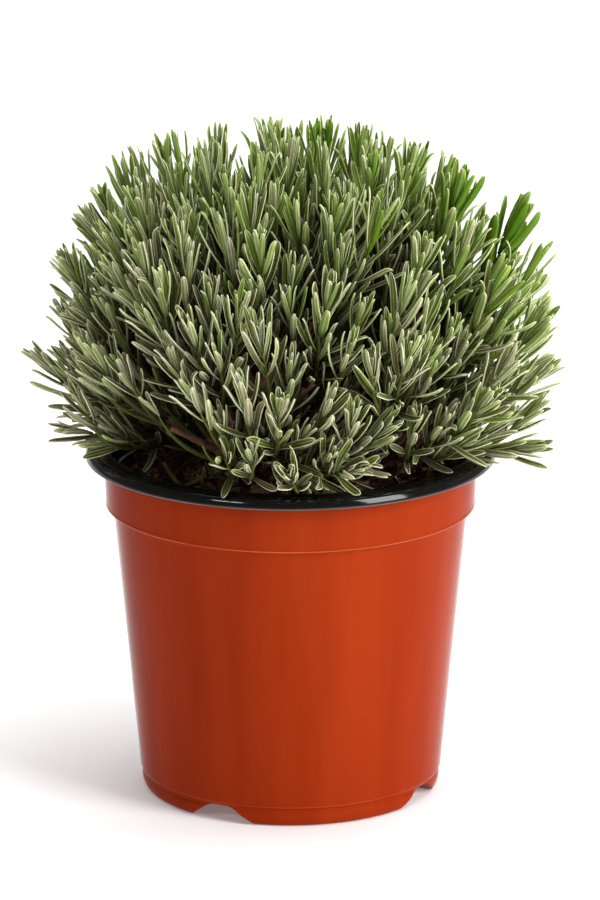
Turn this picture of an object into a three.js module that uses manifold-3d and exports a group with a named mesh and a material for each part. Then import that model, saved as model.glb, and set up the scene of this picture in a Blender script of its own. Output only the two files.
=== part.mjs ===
// Potted lavender: a thin two-colour nursery pot, the compost in it, five woody crowns and the leafy shoots
// that they carry. Millimetres, +Z up. The origin is the middle of the pot's foot, and the front is -Y.
// Angles are in degrees, from the front towards +X.
import * as THREE from "three";
import { mergeVertices } from "three/addons/utils/BufferGeometryUtils.js";
import Module from "manifold-3d";

// Pot
const GAP = 0.3; // between pieces that rest on each other
const SEGMENTS = 32; // sides of the pot
const LIP_RADIUS = 75;
const LIP_TOP = 129;
const LIP_DROP = 4; // height of the lip's outer skirt
const LIP_THICKNESS = 1.1;
const LIP_EDGE = 1; // chamfer round its top
const LIP_ROOT = 2; // how far the lip's solid reaches down into the lining
const COLLAR_TOP_RADIUS = 68.4;
const COLLAR_RADIUS = 67.5;
const COLLAR_BOTTOM = 107; // height of the step under the collar
const STEP_HEIGHT = 1;
const BODY_TOP_RADIUS = 64.8;
const BODY_BASE_RADIUS = 55.4;
const FOOT_HEIGHT = 7.1;
const FOOT_RADIUS = 53.6;
const FOOT_WIDTH = 8; // across the channel that the foot is folded from
const FOOT_SLANT = 1.5; // of the channel's inner side
const FOOT_BULGE = [[54.7, 1.8], [55, 4]]; // radius and height
const GROOVE = [54.3, 6.1];
const FLOOR_UNDERSIDE = 6.5;
const SHELL_THICKNESS = 0.9; // terracotta outer layer
const LINING_THICKNESS = 0.7; // black inner layer
const NOTCH_ANGLES = [-28, 62, 152, 242];
const NOTCH_TOP = 6.1;
const NOTCH_TOP_HALF = 4.4; // half widths of the notches in the foot
const NOTCH_BOTTOM_HALF = 13.2;
const DRAIN_RADIUS = 4.5;
const DRAIN_SIDES = 6;
const DRAIN_CIRCLE = 33; // radius of the ring of drain holes, in line with the notches
const CUTTER = 4; // how far a cutting shape reaches past what it cuts

// Compost, and the woody crowns that stand in it
const COMPOST_EDGE = 116; // height of the surface at the wall
const COMPOST_MOUND = 3.5; // how much higher it is in the middle
// Lumps on it, made of two crossing waves and a slanting one: radians for each millimetre, and shares
const LUMPS = { height: 0.8, alongX: 0.31, alongY: 0.27, start: 1, slantX: 0.13, slantY: -0.19, slant: 0.6 };
const COMPOST_RINGS = [56, 40, 20]; // radii between which the surface is straight
const CROWNS = [
  { angle: 0, radius: 0 },
  { angle: -20, radius: 34 },
  { angle: 72, radius: 32 },
  { angle: 160, radius: 34 },
  { angle: 252, radius: 33 },
];
const TRUNK_RADIUS = 2.8;
const TRUNK_TOP_RADIUS = 2.2;
const TRUNK_SIDES = 6;
const TRUNK_DEPTH = 14; // in the compost
const FORK = 122; // height at which the branches leave the trunks
const TRUNK_TOP = 125;

// The surface that the growing tips lie on: a dome with an upright skirt under it
const DOME_RADIUS = 87;
const DOME_SHIFT = 1; // of its axis from the pot's, towards +X
const DOME_CENTRE = 160;
const DOME_HEIGHT = 73;
const DOME_POWER = 0.8; // below 1 makes the dome fuller than an ellipsoid
const DOME_STEPS = 30;
const SKIRT_RADIUS = 84;
const SKIRT_BOTTOM = 136;
const SKIRT_DENSITY = 1.4; // of tips, compared with the dome's side
const TOP_DENSITY = 1.8;

// Shoots
const SHOOTS = 46;
const SEED = 20260;
const TURN = 137.508; // golden angle from one shoot to the next
const JITTER = 3; // greatest shift of a tip along each axis
const SIZE_SPREAD = 0.06; // greatest part by which a shoot is larger or smaller
const LEAN = 0.5; // outward part of a shoot's direction on the dome's side, for an upward part of 1
const SKIRT_LEAN = 0.55; // what is added to it at the bottom of the skirt
const ROOT_SHARE = 0.5; // of its tip's distance from the axis, where a shoot would meet the compost
const LEAFY_LENGTH = 40; // down from the tip
const ROOT_STRAIGHT = 0.25; // places of the bends in a stem, as shares of the distance between its ends
const TIP_STRAIGHT = 0.45;
const ARCH = 0.12; // rise of the lower bend, as a share of the same
const BEND_OVER_LIP = 4; // least height of the upper bend above the pot
const STEM_RADII = [0.3, 1, 1.2]; // of the green stem, at even steps down from its tip
const STEM_SIDES = 3;
const BRANCH_RADII = [1.2, 1.3, 1.8]; // of the woody branch, from there down to the crown
const BRANCH_SIDES = 3;
// The bush is open between these angles, below this height and outside this radius
const OPENING = { from: -60, to: -20, below: 158, outside: 32 };
// Shoots near this place are larger and stand out further
const VIGOUR = { angle: 84, height: 208, reach: 32, gain: 0.5, push: 5 };

// Leaves. One entry for each pair, from the tip down: distance from the tip, length, width, and the angle
// that the leaf makes with the stem at its root and at its end.
const PAIRS = [
  { down: 2.5, length: 15, width: 2.6, root: 16, end: 4 },
  { down: 8, length: 19, width: 3.0, root: 28, end: 9 },
  { down: 15.5, length: 22, width: 3.2, root: 38, end: 15 },
  { down: 24.5, length: 22, width: 3.2, root: 47, end: 22 },
  { down: 35, length: 20, width: 3.1, root: 56, end: 30 },
];
const LEAF_THICKNESS = 0.9;
const KEEL = 0.7; // part of the thickness that lies under the leaf's middle line
// Places along the blade, with its width there: where it is widest, and where its blunt end starts
const LEAF_STATIONS = [
  { share: 0.42, width: 1 },
  { share: 0.88, width: 0.72 },
];
const WIDEST = 1.3; // limit on how much wider a vigorous shoot's leaves are

// Room between the leaves of different shoots
const CLEARANCE = 0.35;
const LEAF_SAMPLES = 6; // points along a leaf that are kept clear of other pieces
const STEM_SAMPLE = 2; // distance between such points on a stem
const CROWN_ROOM = 5; // the last part of each branch, where it joins its crown
// Ways to turn and shorten a leaf that would touch something, tried in this order
const RETRIES = [
  { turn: 0, shorten: 1 },
  { turn: 24, shorten: 1 },
  { turn: -24, shorten: 1 },
  { turn: 0, shorten: 0.75 },
  { turn: 40, shorten: 0.8 },
  { turn: -40, shorten: 0.8 },
];

// Materials
const finish = (color, roughness) => new THREE.MeshStandardMaterial({ color, roughness, metalness: 0 });
const TERRACOTTA = finish(0xa3350f, 0.3);
const BLACK = finish(0x15171a, 0.35);
const COMPOST = finish(0x2a1a12, 0.95);
const BARK = finish(0x6e4f38, 0.85);
const LEAF = finish(0x6f7f4e, 0.7);

const wasm = await Module();
wasm.setup();

const radians = THREE.MathUtils.degToRad;
const mix = THREE.MathUtils.lerp;

// The place at an angle, a radius and a height
function around(angle, radius, height) {
  return new THREE.Vector3(radius * Math.sin(radians(angle)), -radius * Math.cos(radians(angle)), height);
}

// Park and Miller's generator, so that every run draws the same numbers
function seeded(seed) {
  let state = seed;
  return () => {
    state = (state * 16807) % 2147483647;
    return state / 2147483647;
  };
}

// A closed geometry as a solid that can be joined and cut
function solid(geometry) {
  const bare = new THREE.BufferGeometry();
  bare.setAttribute("position", geometry.getAttribute("position"));
  bare.setIndex(geometry.index);
  const merged = mergeVertices(bare, 1e-4);
  const mesh = new wasm.Mesh({
    numProp: 3,
    vertProperties: new Float32Array(merged.getAttribute("position").array),
    triVerts: new Uint32Array(merged.index.array),
  });
  return new wasm.Manifold(mesh);
}

// Such a solid as a named mesh that is placed by its own position
function piece(name, body, material, place = new THREE.Vector3()) {
  const { vertProperties, triVerts } = body.getMesh();
  const geometry = new THREE.BufferGeometry();
  geometry.setAttribute("position", new THREE.BufferAttribute(vertProperties, 3));
  geometry.setIndex(new THREE.BufferAttribute(triVerts, 1));
  geometry.translate(-place.x, -place.y, -place.z);
  geometry.computeVertexNormals();
  const mesh = new THREE.Mesh(geometry, material);
  mesh.name = name;
  mesh.position.copy(place);
  return mesh;
}

// A profile of [radius, height] pairs turned round Z
function turned(profile) {
  const points = profile.map(([radius, height]) => new THREE.Vector2(radius, height));
  return new THREE.LatheGeometry(points, SEGMENTS).rotateX(Math.PI / 2);
}

// A closed skin over rings of points, with a fan to one point at each end
function loft(rings, start, end) {
  const sides = rings[0].length;
  const last = rings.length - 1;
  const points = [start, ...rings.flat(), end];
  const at = (ring, i) => 1 + ring * sides + (i % sides);
  const faces = [];
  for (let i = 0; i < sides; i++) {
    faces.push(0, at(0, i + 1), at(0, i));
    for (let ring = 0; ring < last; ring++) {
      faces.push(at(ring, i), at(ring, i + 1), at(ring + 1, i));
      faces.push(at(ring, i + 1), at(ring + 1, i + 1), at(ring + 1, i));
    }
    faces.push(points.length - 1, at(last, i), at(last, i + 1));
  }
  return new THREE.BufferGeometry().setFromPoints(points).setIndex(faces);
}

const LIP_UNDERSIDE = LIP_TOP - LIP_THICKNESS;
const SHELL_TOP = LIP_UNDERSIDE - GAP;
const LINING_OUTSIDE = SHELL_THICKNESS + GAP; // depths under the pot's outer surface
const LINING_INSIDE = LINING_OUTSIDE + LINING_THICKNESS;
const FILLING = LINING_INSIDE + GAP;
const ABOVE = LIP_TOP + CUTTER;

// The pot's outer surface, from the middle of the floor round the folded foot to the top of the collar
const WALL = [
  [0, FLOOR_UNDERSIDE],
  [FOOT_RADIUS - FOOT_WIDTH - FOOT_SLANT, FLOOR_UNDERSIDE],
  [FOOT_RADIUS - FOOT_WIDTH, 0],
  [FOOT_RADIUS, 0],
  [BODY_BASE_RADIUS, FOOT_HEIGHT],
  [BODY_TOP_RADIUS, COLLAR_BOTTOM - STEP_HEIGHT],
  [COLLAR_RADIUS, COLLAR_BOTTOM],
  [COLLAR_TOP_RADIUS, SHELL_TOP],
];
const WALL_ABOVE_FOOT = 4; // index of the first point above the foot

// The wall moved inwards by a distance: each side of it is shifted, and neighbours meet again
function inset(distance) {
  const sides = WALL.slice(1).map(([r1, z1], i) => {
    const [r0, z0] = WALL[i];
    const [dr, dz] = [r1 - r0, z1 - z0];
    const shift = distance / Math.hypot(dr, dz);
    return { r: r0 - dz * shift, z: z0 + dr * shift, dr, dz };
  });
  const corners = sides.slice(1).map((b, i) => {
    const a = sides[i];
    const share = ((b.r - a.r) * b.dz - (b.z - a.z) * b.dr) / (a.dr * b.dz - a.dz * b.dr);
    return [a.r + a.dr * share, a.z + a.dz * share];
  });
  const top = sides.at(-1);
  return [[0, sides[0].z], ...corners, [top.r + top.dr, top.z + top.dz]];
}

// The bulge of the foot and the groove over it, which only the outer surface has
function withFoot(profile) {
  return [...profile.slice(0, WALL_ABOVE_FOOT), ...FOOT_BULGE, GROOVE, ...profile.slice(WALL_ABOVE_FOOT)];
}

// The notches in the foot, grown on every side by a distance
function notches(distance) {
  const top = NOTCH_TOP_HALF + distance;
  const bottom = NOTCH_BOTTOM_HALF + distance;
  const outline = [[-bottom, -CUTTER], [bottom, -CUTTER], [bottom, 0], [top, NOTCH_TOP + distance]];
  outline.push([-top, NOTCH_TOP + distance], [-bottom, 0]);
  const shape = new THREE.Shape(outline.map(([x, y]) => new THREE.Vector2(x, y)));
  const depth = FOOT_WIDTH + 3 * CUTTER;
  const wedges = NOTCH_ANGLES.map((angle) => {
    const wedge = new THREE.ExtrudeGeometry(shape, { depth, bevelEnabled: false });
    wedge.translate(0, 0, FOOT_RADIUS - FOOT_WIDTH - CUTTER);
    return solid(wedge.rotateX(Math.PI / 2).rotateZ(radians(angle)));
  });
  return wasm.Manifold.union(wedges);
}

// All that lies inside a wall profile, up to a height
function vessel(profile, top, distance) {
  const body = solid(turned([...profile, [profile.at(-1)[0], top], [0, top]]));
  return body.subtract(notches(distance));
}

function drains() {
  const places = NOTCH_ANGLES.map((angle) => around(angle, DRAIN_CIRCLE, FLOOR_UNDERSIDE));
  places.push(around(0, 0, FLOOR_UNDERSIDE));
  const holes = places.map(({ x, y, z }) => {
    const hole = new THREE.CylinderGeometry(DRAIN_RADIUS, DRAIN_RADIUS, 3 * CUTTER, DRAIN_SIDES);
    return solid(hole.rotateX(Math.PI / 2).translate(x, y, z));
  });
  return wasm.Manifold.union(holes);
}

function potShell() {
  const outside = vessel(withFoot(inset(0)), SHELL_TOP, 0);
  return outside.subtract(vessel(inset(SHELL_THICKNESS), ABOVE, SHELL_THICKNESS)).subtract(drains());
}

// The lip is the lining's top edge, turned out over the shell and down
function lip() {
  const inner = inset(LINING_INSIDE).at(-1)[0];
  const outer = inset(LINING_OUTSIDE).at(-1)[0];
  return turned([
    [inner, LIP_UNDERSIDE - LIP_ROOT],
    [outer, LIP_UNDERSIDE - LIP_ROOT],
    [outer, LIP_UNDERSIDE],
    [LIP_RADIUS - LIP_THICKNESS, LIP_UNDERSIDE],
    [LIP_RADIUS - LIP_THICKNESS, LIP_TOP - LIP_DROP],
    [LIP_RADIUS, LIP_TOP - LIP_DROP],
    [LIP_RADIUS, LIP_TOP - LIP_EDGE],
    [LIP_RADIUS - LIP_EDGE, LIP_TOP],
    [inner, LIP_TOP],
    [inner, LIP_UNDERSIDE - LIP_ROOT],
  ]);
}

function potLining() {
  const outside = vessel(inset(LINING_OUTSIDE), LIP_UNDERSIDE, LINING_OUTSIDE);
  const inside = vessel(inset(LINING_INSIDE), ABOVE, LINING_INSIDE);
  return outside.subtract(inside).subtract(drains()).add(solid(lip()));
}

// Height of the compost's surface, lumpy and a little higher in the middle
function compostHeight(x, y) {
  const share = Math.hypot(x, y) / COLLAR_RADIUS;
  const crossing = Math.sin(x * LUMPS.alongX + LUMPS.start) * Math.cos(y * LUMPS.alongY);
  const slanting = LUMPS.slant * Math.sin(x * LUMPS.slantX + y * LUMPS.slantY);
  return COMPOST_EDGE + COMPOST_MOUND * (1 - share * share) + LUMPS.height * (crossing + slanting);
}

// Where a crown's trunk comes out of the compost
function trunkPlace({ angle, radius }) {
  const place = around(angle, radius, 0);
  return place.setZ(compostHeight(place.x, place.y));
}

// A flat-bottomed filling under the lumpy surface
function compost() {
  const rings = [COLLAR_RADIUS, ...COMPOST_RINGS, 0].map((radius) => [radius, ABOVE]);
  const cover = turned([[0, -CUTTER], [COLLAR_RADIUS, -CUTTER], ...rings]);
  const points = cover.getAttribute("position");
  for (let i = 0; i < points.count; i++) {
    if (points.getZ(i) > 0) points.setZ(i, compostHeight(points.getX(i), points.getY(i)));
  }
  const wall = inset(FILLING);
  const floor = wall[0][1];
  const side = [[wall[WALL_ABOVE_FOOT][0], floor], ...wall.slice(WALL_ABOVE_FOOT + 1)];
  const tub = turned([[0, floor], ...side, [wall.at(-1)[0], ABOVE], [0, ABOVE]]);
  const holes = CROWNS.map((crown) => {
    const { x, y, z } = trunkPlace(crown);
    const depth = TRUNK_DEPTH + GAP;
    const hole = new THREE.CylinderGeometry(TRUNK_RADIUS + GAP, TRUNK_RADIUS + GAP, 2 * depth, TRUNK_SIDES);
    return solid(hole.rotateX(Math.PI / 2).translate(x, y, z));
  });
  return solid(tub).intersect(solid(cover)).subtract(wasm.Manifold.union(holes));
}

// The surface of the tips from the top down, with the area so far at each point
function tipSurface() {
  const points = Array.from({ length: DOME_STEPS + 1 }, (_, i) => {
    const angle = (i / DOME_STEPS) * (Math.PI / 2);
    const rise = Math.max(0, Math.cos(angle)) ** DOME_POWER;
    return [DOME_RADIUS * Math.sin(angle) ** DOME_POWER, DOME_CENTRE + DOME_HEIGHT * rise];
  });
  points.push([SKIRT_RADIUS, SKIRT_BOTTOM]);
  let area = 0;
  return points.map(([radius, height], i) => {
    const [r0, z0] = points[Math.max(0, i - 1)];
    const rise = (height - DOME_CENTRE) / DOME_HEIGHT;
    const density = rise < 0 ? SKIRT_DENSITY : mix(1, TOP_DENSITY, rise);
    area += density * (radius + r0) * Math.hypot(radius - r0, height - z0);
    return { radius, height, area };
  });
}

// Whether an angle and a height are those of the low front left, where the bush is open
function inOpening(angle, height) {
  const wrapped = ((angle + 180) % 360) - 180;
  return OPENING.from < wrapped && wrapped < OPENING.to && height < OPENING.below;
}

// Where a shoot's growing tip is, which way it points, and how large it is
function growingTip(i, surface, random) {
  const area = ((i + 0.5) / SHOOTS) * surface.at(-1).area;
  const next = surface.findIndex((point) => point.area >= area);
  const [a, b] = [surface[next - 1], surface[next]];
  const share = (area - a.area) / (b.area - a.area);
  const [radius, height] = [mix(a.radius, b.radius, share), mix(a.height, b.height, share)];
  const angle = inOpening(i * TURN, height) ? OPENING.to : i * TURN;
  const shift = () => (random() * 2 - 1) * JITTER;
  const tip = around(angle, radius, height).add(new THREE.Vector3(DOME_SHIFT + shift(), shift(), shift()));
  const steep = (a.height - b.height) / Math.hypot(b.radius - a.radius, b.height - a.height);
  const low = Math.max(0, (DOME_CENTRE - height) / (DOME_CENTRE - SKIRT_BOTTOM));
  const direction = around(angle, LEAN * steep + SKIRT_LEAN * low, 1).normalize();
  const distance = tip.distanceTo(around(VIGOUR.angle, DOME_RADIUS, VIGOUR.height));
  const vigour = Math.exp(-((distance / VIGOUR.reach) ** 2));
  const size = (1 + VIGOUR.gain * vigour) * (1 + SIZE_SPREAD * (random() * 2 - 1));
  tip.addScaledVector(direction, VIGOUR.push * vigour);
  return { tip, direction, size, spin: random() * 360 };
}

// The crown that is nearest to where the shoot would meet the compost
function nearestCrown(tip) {
  const distances = CROWNS.map(({ angle, radius }) => {
    const place = around(angle, radius, 0);
    return Math.hypot(place.x - tip.x * ROOT_SHARE, place.y - tip.y * ROOT_SHARE);
  });
  return distances.indexOf(Math.min(...distances));
}

// The stem's centre line from its tip down to the crown, as straight pieces. Each point has its distance
// from the tip and the stem's radius there.
function stemPath({ tip, direction, size, crown }) {
  const start = around(CROWNS[crown].angle, CROWNS[crown].radius, FORK);
  const reach = tip.distanceTo(start);
  const lower = start.clone().lerp(tip, ROOT_STRAIGHT);
  lower.z += reach * ARCH;
  const upper = tip.clone().addScaledVector(direction, -reach * TIP_STRAIGHT);
  upper.z = Math.max(upper.z, LIP_TOP + BEND_OVER_LIP);
  const curve = new THREE.CubicBezierCurve3(tip, upper, lower, start);
  const leafy = (LEAFY_LENGTH * size) / curve.getLength();
  const evenly = (radii, from, to) => {
    return radii.map((radius, i) => ({ radius, share: mix(from, to, i / (radii.length - 1)) }));
  };
  const stations = [...evenly(STEM_RADII, 0, leafy), ...evenly(BRANCH_RADII, leafy, 1).slice(1)];
  let length = 0;
  let previous = tip;
  return stations.map(({ radius, share }) => {
    const point = curve.getPointAt(Math.min(1, share));
    length += point.distanceTo(previous);
    previous = point;
    return { point, radius, length };
  });
}

const greenPart = (path) => path.slice(0, STEM_RADII.length);
const woodyPart = (path) => path.slice(STEM_RADII.length - 1);

// The point at a distance from the tip, with the stem's direction there and two directions across it
function along(path, distance) {
  const next = path.findIndex((point, i) => i > 0 && (point.length >= distance || i === path.length - 1));
  const [a, b] = [path[next - 1], path[next]];
  const point = a.point.clone().lerp(b.point, (distance - a.length) / (b.length - a.length));
  const axis = a.point.clone().sub(b.point).normalize();
  const tip = path[0].point;
  const side = new THREE.Vector3(-tip.y, tip.x, 0);
  side.addScaledVector(axis, -side.dot(axis)).normalize();
  return { point, axis, side, back: new THREE.Vector3().crossVectors(axis, side) };
}

// A flat-sided stem along a path, which starts a little after the path's first point
function stem(path, sides, cut) {
  const rings = path.map(({ length, radius }, i) => {
    const { point, side, back } = along(path, i === 0 ? length + cut : length);
    return Array.from({ length: sides }, (_, corner) => {
      const angle = (corner / sides) * 2 * Math.PI;
      const across = side.clone().multiplyScalar(Math.cos(angle)).addScaledVector(back, Math.sin(angle));
      return point.clone().addScaledVector(across, radius);
    });
  });
  return loft(rings.toReversed(), path.at(-1).point, along(path, path[0].length + cut).point);
}

// A leaf bends evenly from one angle at its root to another at its end. This gives the place at a share of
// its length, and which way its upper side faces there.
function leafAt(leaf, share) {
  const { root, axis, out, length, from, bend } = leaf;
  const angle = from + bend * share;
  const forward = (Math.sin(angle) - Math.sin(from)) / bend;
  const outward = (Math.cos(from) - Math.cos(angle)) / bend;
  const point = root.clone().addScaledVector(axis, length * forward).addScaledVector(out, length * outward);
  const upper = axis.clone().multiplyScalar(Math.sin(angle)).addScaledVector(out, -Math.cos(angle));
  return { point, upper };
}

// A blade with a flat upper side and a keel under it
function blade(leaf) {
  const across = new THREE.Vector3().crossVectors(leaf.axis, leaf.out);
  const rings = LEAF_STATIONS.map(({ share, width }) => {
    const { point, upper } = leafAt(leaf, share);
    const face = point.clone().addScaledVector(upper, LEAF_THICKNESS * (1 - KEEL));
    const keel = point.clone().addScaledVector(upper, -LEAF_THICKNESS * KEEL);
    const edge = (side) => face.clone().addScaledVector(across, (side * width * leaf.width) / 2);
    return [edge(-1), keel, edge(1)];
  });
  return loft(rings, leaf.root, leafAt(leaf, 1).point);
}

function makeLeaf(shoot, pair, half, retry) {
  const { down, length, width, root, end } = PAIRS[pair];
  const { point, axis, side, back } = along(shoot.path, down * shoot.size);
  const angle = radians(shoot.spin + pair * 90 + half * 180 + retry.turn);
  return {
    root: point,
    axis,
    out: side.clone().multiplyScalar(Math.cos(angle)).addScaledVector(back, Math.sin(angle)),
    length: length * shoot.size * retry.shorten,
    width: width * Math.min(shoot.size, WIDEST),
    from: radians(root),
    bend: radians(end - root),
  };
}

// Balls along a leaf or a stem, with the shoot that owns them. A branch belongs to its crown instead.
function leafBalls(leaf, owner) {
  return Array.from({ length: LEAF_SAMPLES }, (_, i) => {
    return { owner, point: leafAt(leaf, (i + 1) / LEAF_SAMPLES).point, radius: leaf.width / 2 };
  });
}

function stemBalls({ path }, owner) {
  const count = Math.floor((path.at(-1).length - CROWN_ROOM) / STEM_SAMPLE);
  return Array.from({ length: count }, (_, i) => {
    const down = i * STEM_SAMPLE;
    const green = down < greenPart(path).at(-1).length - STEM_SAMPLE / 2;
    return { owner: green ? owner : "crown", point: along(path, down).point, radius: STEM_RADII.at(-1) };
  });
}

// Whether a ball lies clear of the pot, the compost, the opening and the balls of other owners
function isClear({ owner, point, radius }, taken) {
  const margin = radius + CLEARANCE;
  const out = Math.hypot(point.x, point.y);
  const angle = THREE.MathUtils.radToDeg(Math.atan2(point.x, -point.y));
  if (out > OPENING.outside && inOpening(angle, point.z)) return false;
  const overLip = out + margin > inset(LINING_INSIDE).at(-1)[0];
  const ground = overLip ? LIP_TOP : compostHeight(point.x, point.y);
  if (point.z - margin < ground) return false;
  return taken.every((ball) => ball.owner === owner || ball.point.distanceTo(point) > ball.radius + margin);
}

// Every shoot with its path, and then the leaves of all of them, pair by pair from the tips down
function grow() {
  const random = seeded(SEED);
  const surface = tipSurface();
  const shoots = Array.from({ length: SHOOTS }, (_, i) => {
    const shoot = growingTip(i, surface, random);
    shoot.crown = nearestCrown(shoot.tip);
    shoot.path = stemPath(shoot);
    shoot.leaves = [];
    return shoot;
  });
  const taken = shoots.flatMap(stemBalls);
  for (const pair of PAIRS.keys()) {
    for (const [i, shoot] of shoots.entries()) {
      for (const half of [0, 1]) {
        const tries = RETRIES.map((retry) => makeLeaf(shoot, pair, half, retry));
        const leaf = tries.find((each) => leafBalls(each, i).every((ball) => isClear(ball, taken)));
        if (!leaf) continue;
        shoot.leaves.push(leaf);
        taken.push(...leafBalls(leaf, i));
      }
    }
  }
  return shoots;
}

// The green stem with every leaf rooted in the middle of it
function leafyShoot({ path, leaves }) {
  const green = solid(stem(greenPart(path), STEM_SIDES, 0));
  return wasm.Manifold.union([green, ...leaves.map((leaf) => solid(blade(leaf)))]);
}

// A trunk in the compost, with a bare branch up to the foot of each of its shoots
function woodyCrown(crown, shoots) {
  const { x, y, z } = trunkPlace(CROWNS[crown]);
  const base = z - TRUNK_DEPTH;
  const trunk = new THREE.CylinderGeometry(TRUNK_TOP_RADIUS, TRUNK_RADIUS, TRUNK_TOP - base, TRUNK_SIDES);
  trunk.rotateX(Math.PI / 2).translate(x, y, (TRUNK_TOP + base) / 2);
  const own = shoots.filter((shoot) => shoot.crown === crown);
  const branches = own.map(({ path }) => solid(stem(woodyPart(path), BRANCH_SIDES, GAP)));
  return wasm.Manifold.union([solid(trunk), ...branches]);
}

const pot = new THREE.Group();
pot.add(piece("pot_shell", potShell(), TERRACOTTA));
pot.add(piece("pot_lining", potLining(), BLACK));
pot.add(piece("compost", compost(), COMPOST));

const plant = new THREE.Group();
const shoots = grow();
CROWNS.forEach((crown, i) => {
  plant.add(piece(`woody_crown_${i + 1}`, woodyCrown(i, shoots), BARK, trunkPlace(crown)));
});
shoots.forEach((shoot, i) => {
  const name = `leafy_shoot_${String(i + 1).padStart(2, "0")}`;
  plant.add(piece(name, leafyShoot(shoot), LEAF, greenPart(shoot.path).at(-1).point));
});

const pottedLavender = new THREE.Group();
pottedLavender.add(pot, plant);

export default pottedLavender;
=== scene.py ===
import math
from itertools import product

import bpy
import numpy as np
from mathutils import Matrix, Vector, noise
from numpy.linalg import norm


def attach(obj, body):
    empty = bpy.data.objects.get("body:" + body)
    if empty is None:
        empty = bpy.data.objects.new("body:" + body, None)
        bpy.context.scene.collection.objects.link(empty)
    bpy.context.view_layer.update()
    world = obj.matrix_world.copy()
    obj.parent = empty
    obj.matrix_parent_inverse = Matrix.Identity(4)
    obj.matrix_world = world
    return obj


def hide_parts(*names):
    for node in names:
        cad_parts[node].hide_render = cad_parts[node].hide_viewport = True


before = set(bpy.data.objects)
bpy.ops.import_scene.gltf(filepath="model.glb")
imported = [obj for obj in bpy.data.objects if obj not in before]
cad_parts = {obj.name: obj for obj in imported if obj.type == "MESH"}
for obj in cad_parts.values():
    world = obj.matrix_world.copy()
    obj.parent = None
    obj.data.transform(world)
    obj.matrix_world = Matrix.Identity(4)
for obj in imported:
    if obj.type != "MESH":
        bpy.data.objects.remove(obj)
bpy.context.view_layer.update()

# Sizes are in millimetres and angles in degrees, from the front (-Y) towards +X, as in the solids.
MM = 0.001

# Camera: it stands this far from its target and looks down by this angle
CAMERA_TARGET = (3.5, 0, 126.5)
CAMERA_DISTANCE = 2200
CAMERA_ELEVATION = 15.56
CAMERA_LENS = 240.8
CAMERA_CLIP = (0.1, 50)

# Lamps, in metres and watts: place, width, height and power
LAMPS = {
    "overhead": ((0.3, 0.35, 2.8), 2.8, 2.8, 97),
    "key": ((1.6, -1.15, 1.0), 0.9, 1.2, 47),
    "left": ((-1.4, 0.8, 1.0), 0.3, 1.4, 0.5),
    "fill": ((-0.95, -1.25, 1.05), 0.5, 0.05, 4),
}
LAMP_TARGET = (0, 0, 0.13)
# Light from all around: heights from the horizon up, and the strengths at them
SURROUNDINGS = (0.1, 0.8, 0.2, 0.12)
# The floor lies a little under the pot
FLOOR_HALF = 6000
FLOOR_DROP = 0.0002

# Pot, as in the solids
GAP = 0.3
LIP_RADIUS = 75
LIP_TOP = 129
LIP_DROP = 4
LIP_THICKNESS = 1.1
COLLAR_TOP_RADIUS = 68.4
COLLAR_RADIUS = 67.5
COLLAR_BOTTOM = 107
STEP_HEIGHT = 1
BODY_TOP_RADIUS = 64.8
BODY_BASE_RADIUS = 55.4
FOOT_HEIGHT = 7.1
FOOT_RADIUS = 53.6
FOOT_WIDTH = 8
FOOT_SLANT = 1.5
FOOT_BULGE = [(54.7, 1.8), (55, 4)]
GROOVE = (54.3, 6.1)
FLOOR_UNDERSIDE = 6.5
SHELL_THICKNESS = 0.9
LINING_THICKNESS = 0.7
NOTCH_ANGLES = (-28, 62, 152, 242)
NOTCH_TOP = 6.1
NOTCH_TOP_HALF = 4.4
NOTCH_BOTTOM_HALF = 13.2
DRAIN_RADIUS = 4.5
DRAIN_CIRCLE = 33
CUTTER = 4

# Pot, finer than in the solids
POT_SEGMENTS = 192
DRAIN_SIDES = 32
CORNER_STEPS = 5
# The most of a side that a rounded corner takes up
CORNER_SHARE = 0.45
WALL_ROUNDING = 0.9
LINING_ROUNDING = 0.4
NOTCH_ROUNDING = 2.4
LIP_ROUNDING = 1.0
# The groove in the lip's top: its depth and half its width
LIP_GROOVE = 0.35
LIP_GROOVE_HALF = 0.8
# How far under the lip the lining's wall ends and the lip's ring starts, so that they overlap
WALL_END = 1
RING_START = 2
# The lip's outer shoulder: how far in from its radius and down from its top
LIP_SHOULDER = [(0, 3.1), (0.28, 2.1), (0.75, 1.1), (1.45, 0.35), (2.45, 0)]
# Edges of the pot that are sharper than this stay crisp
CRISP_FROM = 35

# The collar's lower edge stands out a little
COLLAR_BEAD = [(COLLAR_RADIUS + 0.3, COLLAR_BOTTOM + 0.3), (COLLAR_RADIUS + 0.05, COLLAR_BOTTOM + 1.6)]
# Edges of the pot with a painted highlight, a pale line: height, reach above and below it, and how strong
PAINTED_HIGHLIGHT_EDGES = [(COLLAR_BOTTOM + 0.3, 0.3, 0.5), (FOOT_HEIGHT + 0.3, 0.15, 0.25)]
# The painted highlight along the lip's lower edge: height, reach and strength
PAINTED_HIGHLIGHT_LIP = (LIP_TOP - LIP_DROP + 0.2, 0.2, 0.5)

# Compost and crowns, as in the solids
COMPOST_EDGE = 116
COMPOST_MOUND = 3.5
LUMPS = {
    "height": 0.8, "alongX": 0.31, "alongY": 0.27, "start": 1,
    "slant": 0.6, "slantX": 0.13, "slantY": -0.19,
}
CROWNS = [(0, 0), (-20, 34), (72, 32), (160, 34), (252, 33)]
TRUNK_RADIUS = 2.8
TRUNK_TOP_RADIUS = 2.2
TRUNK_DEPTH = 14
FORK = 122
TRUNK_TOP = 125

# Compost, finer
COMPOST_RINGS = 70
COMPOST_SECTORS = 200
# Its clods and grains: noise per millimetre, level, exponent, step between octaves, octaves and height
CLODS = (0.16, 3.7, 1.0, 2.0, 4, 1.1)
GRAINS = (0.7, 9.1, 0.8, 2.1, 3, 0.55)
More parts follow.
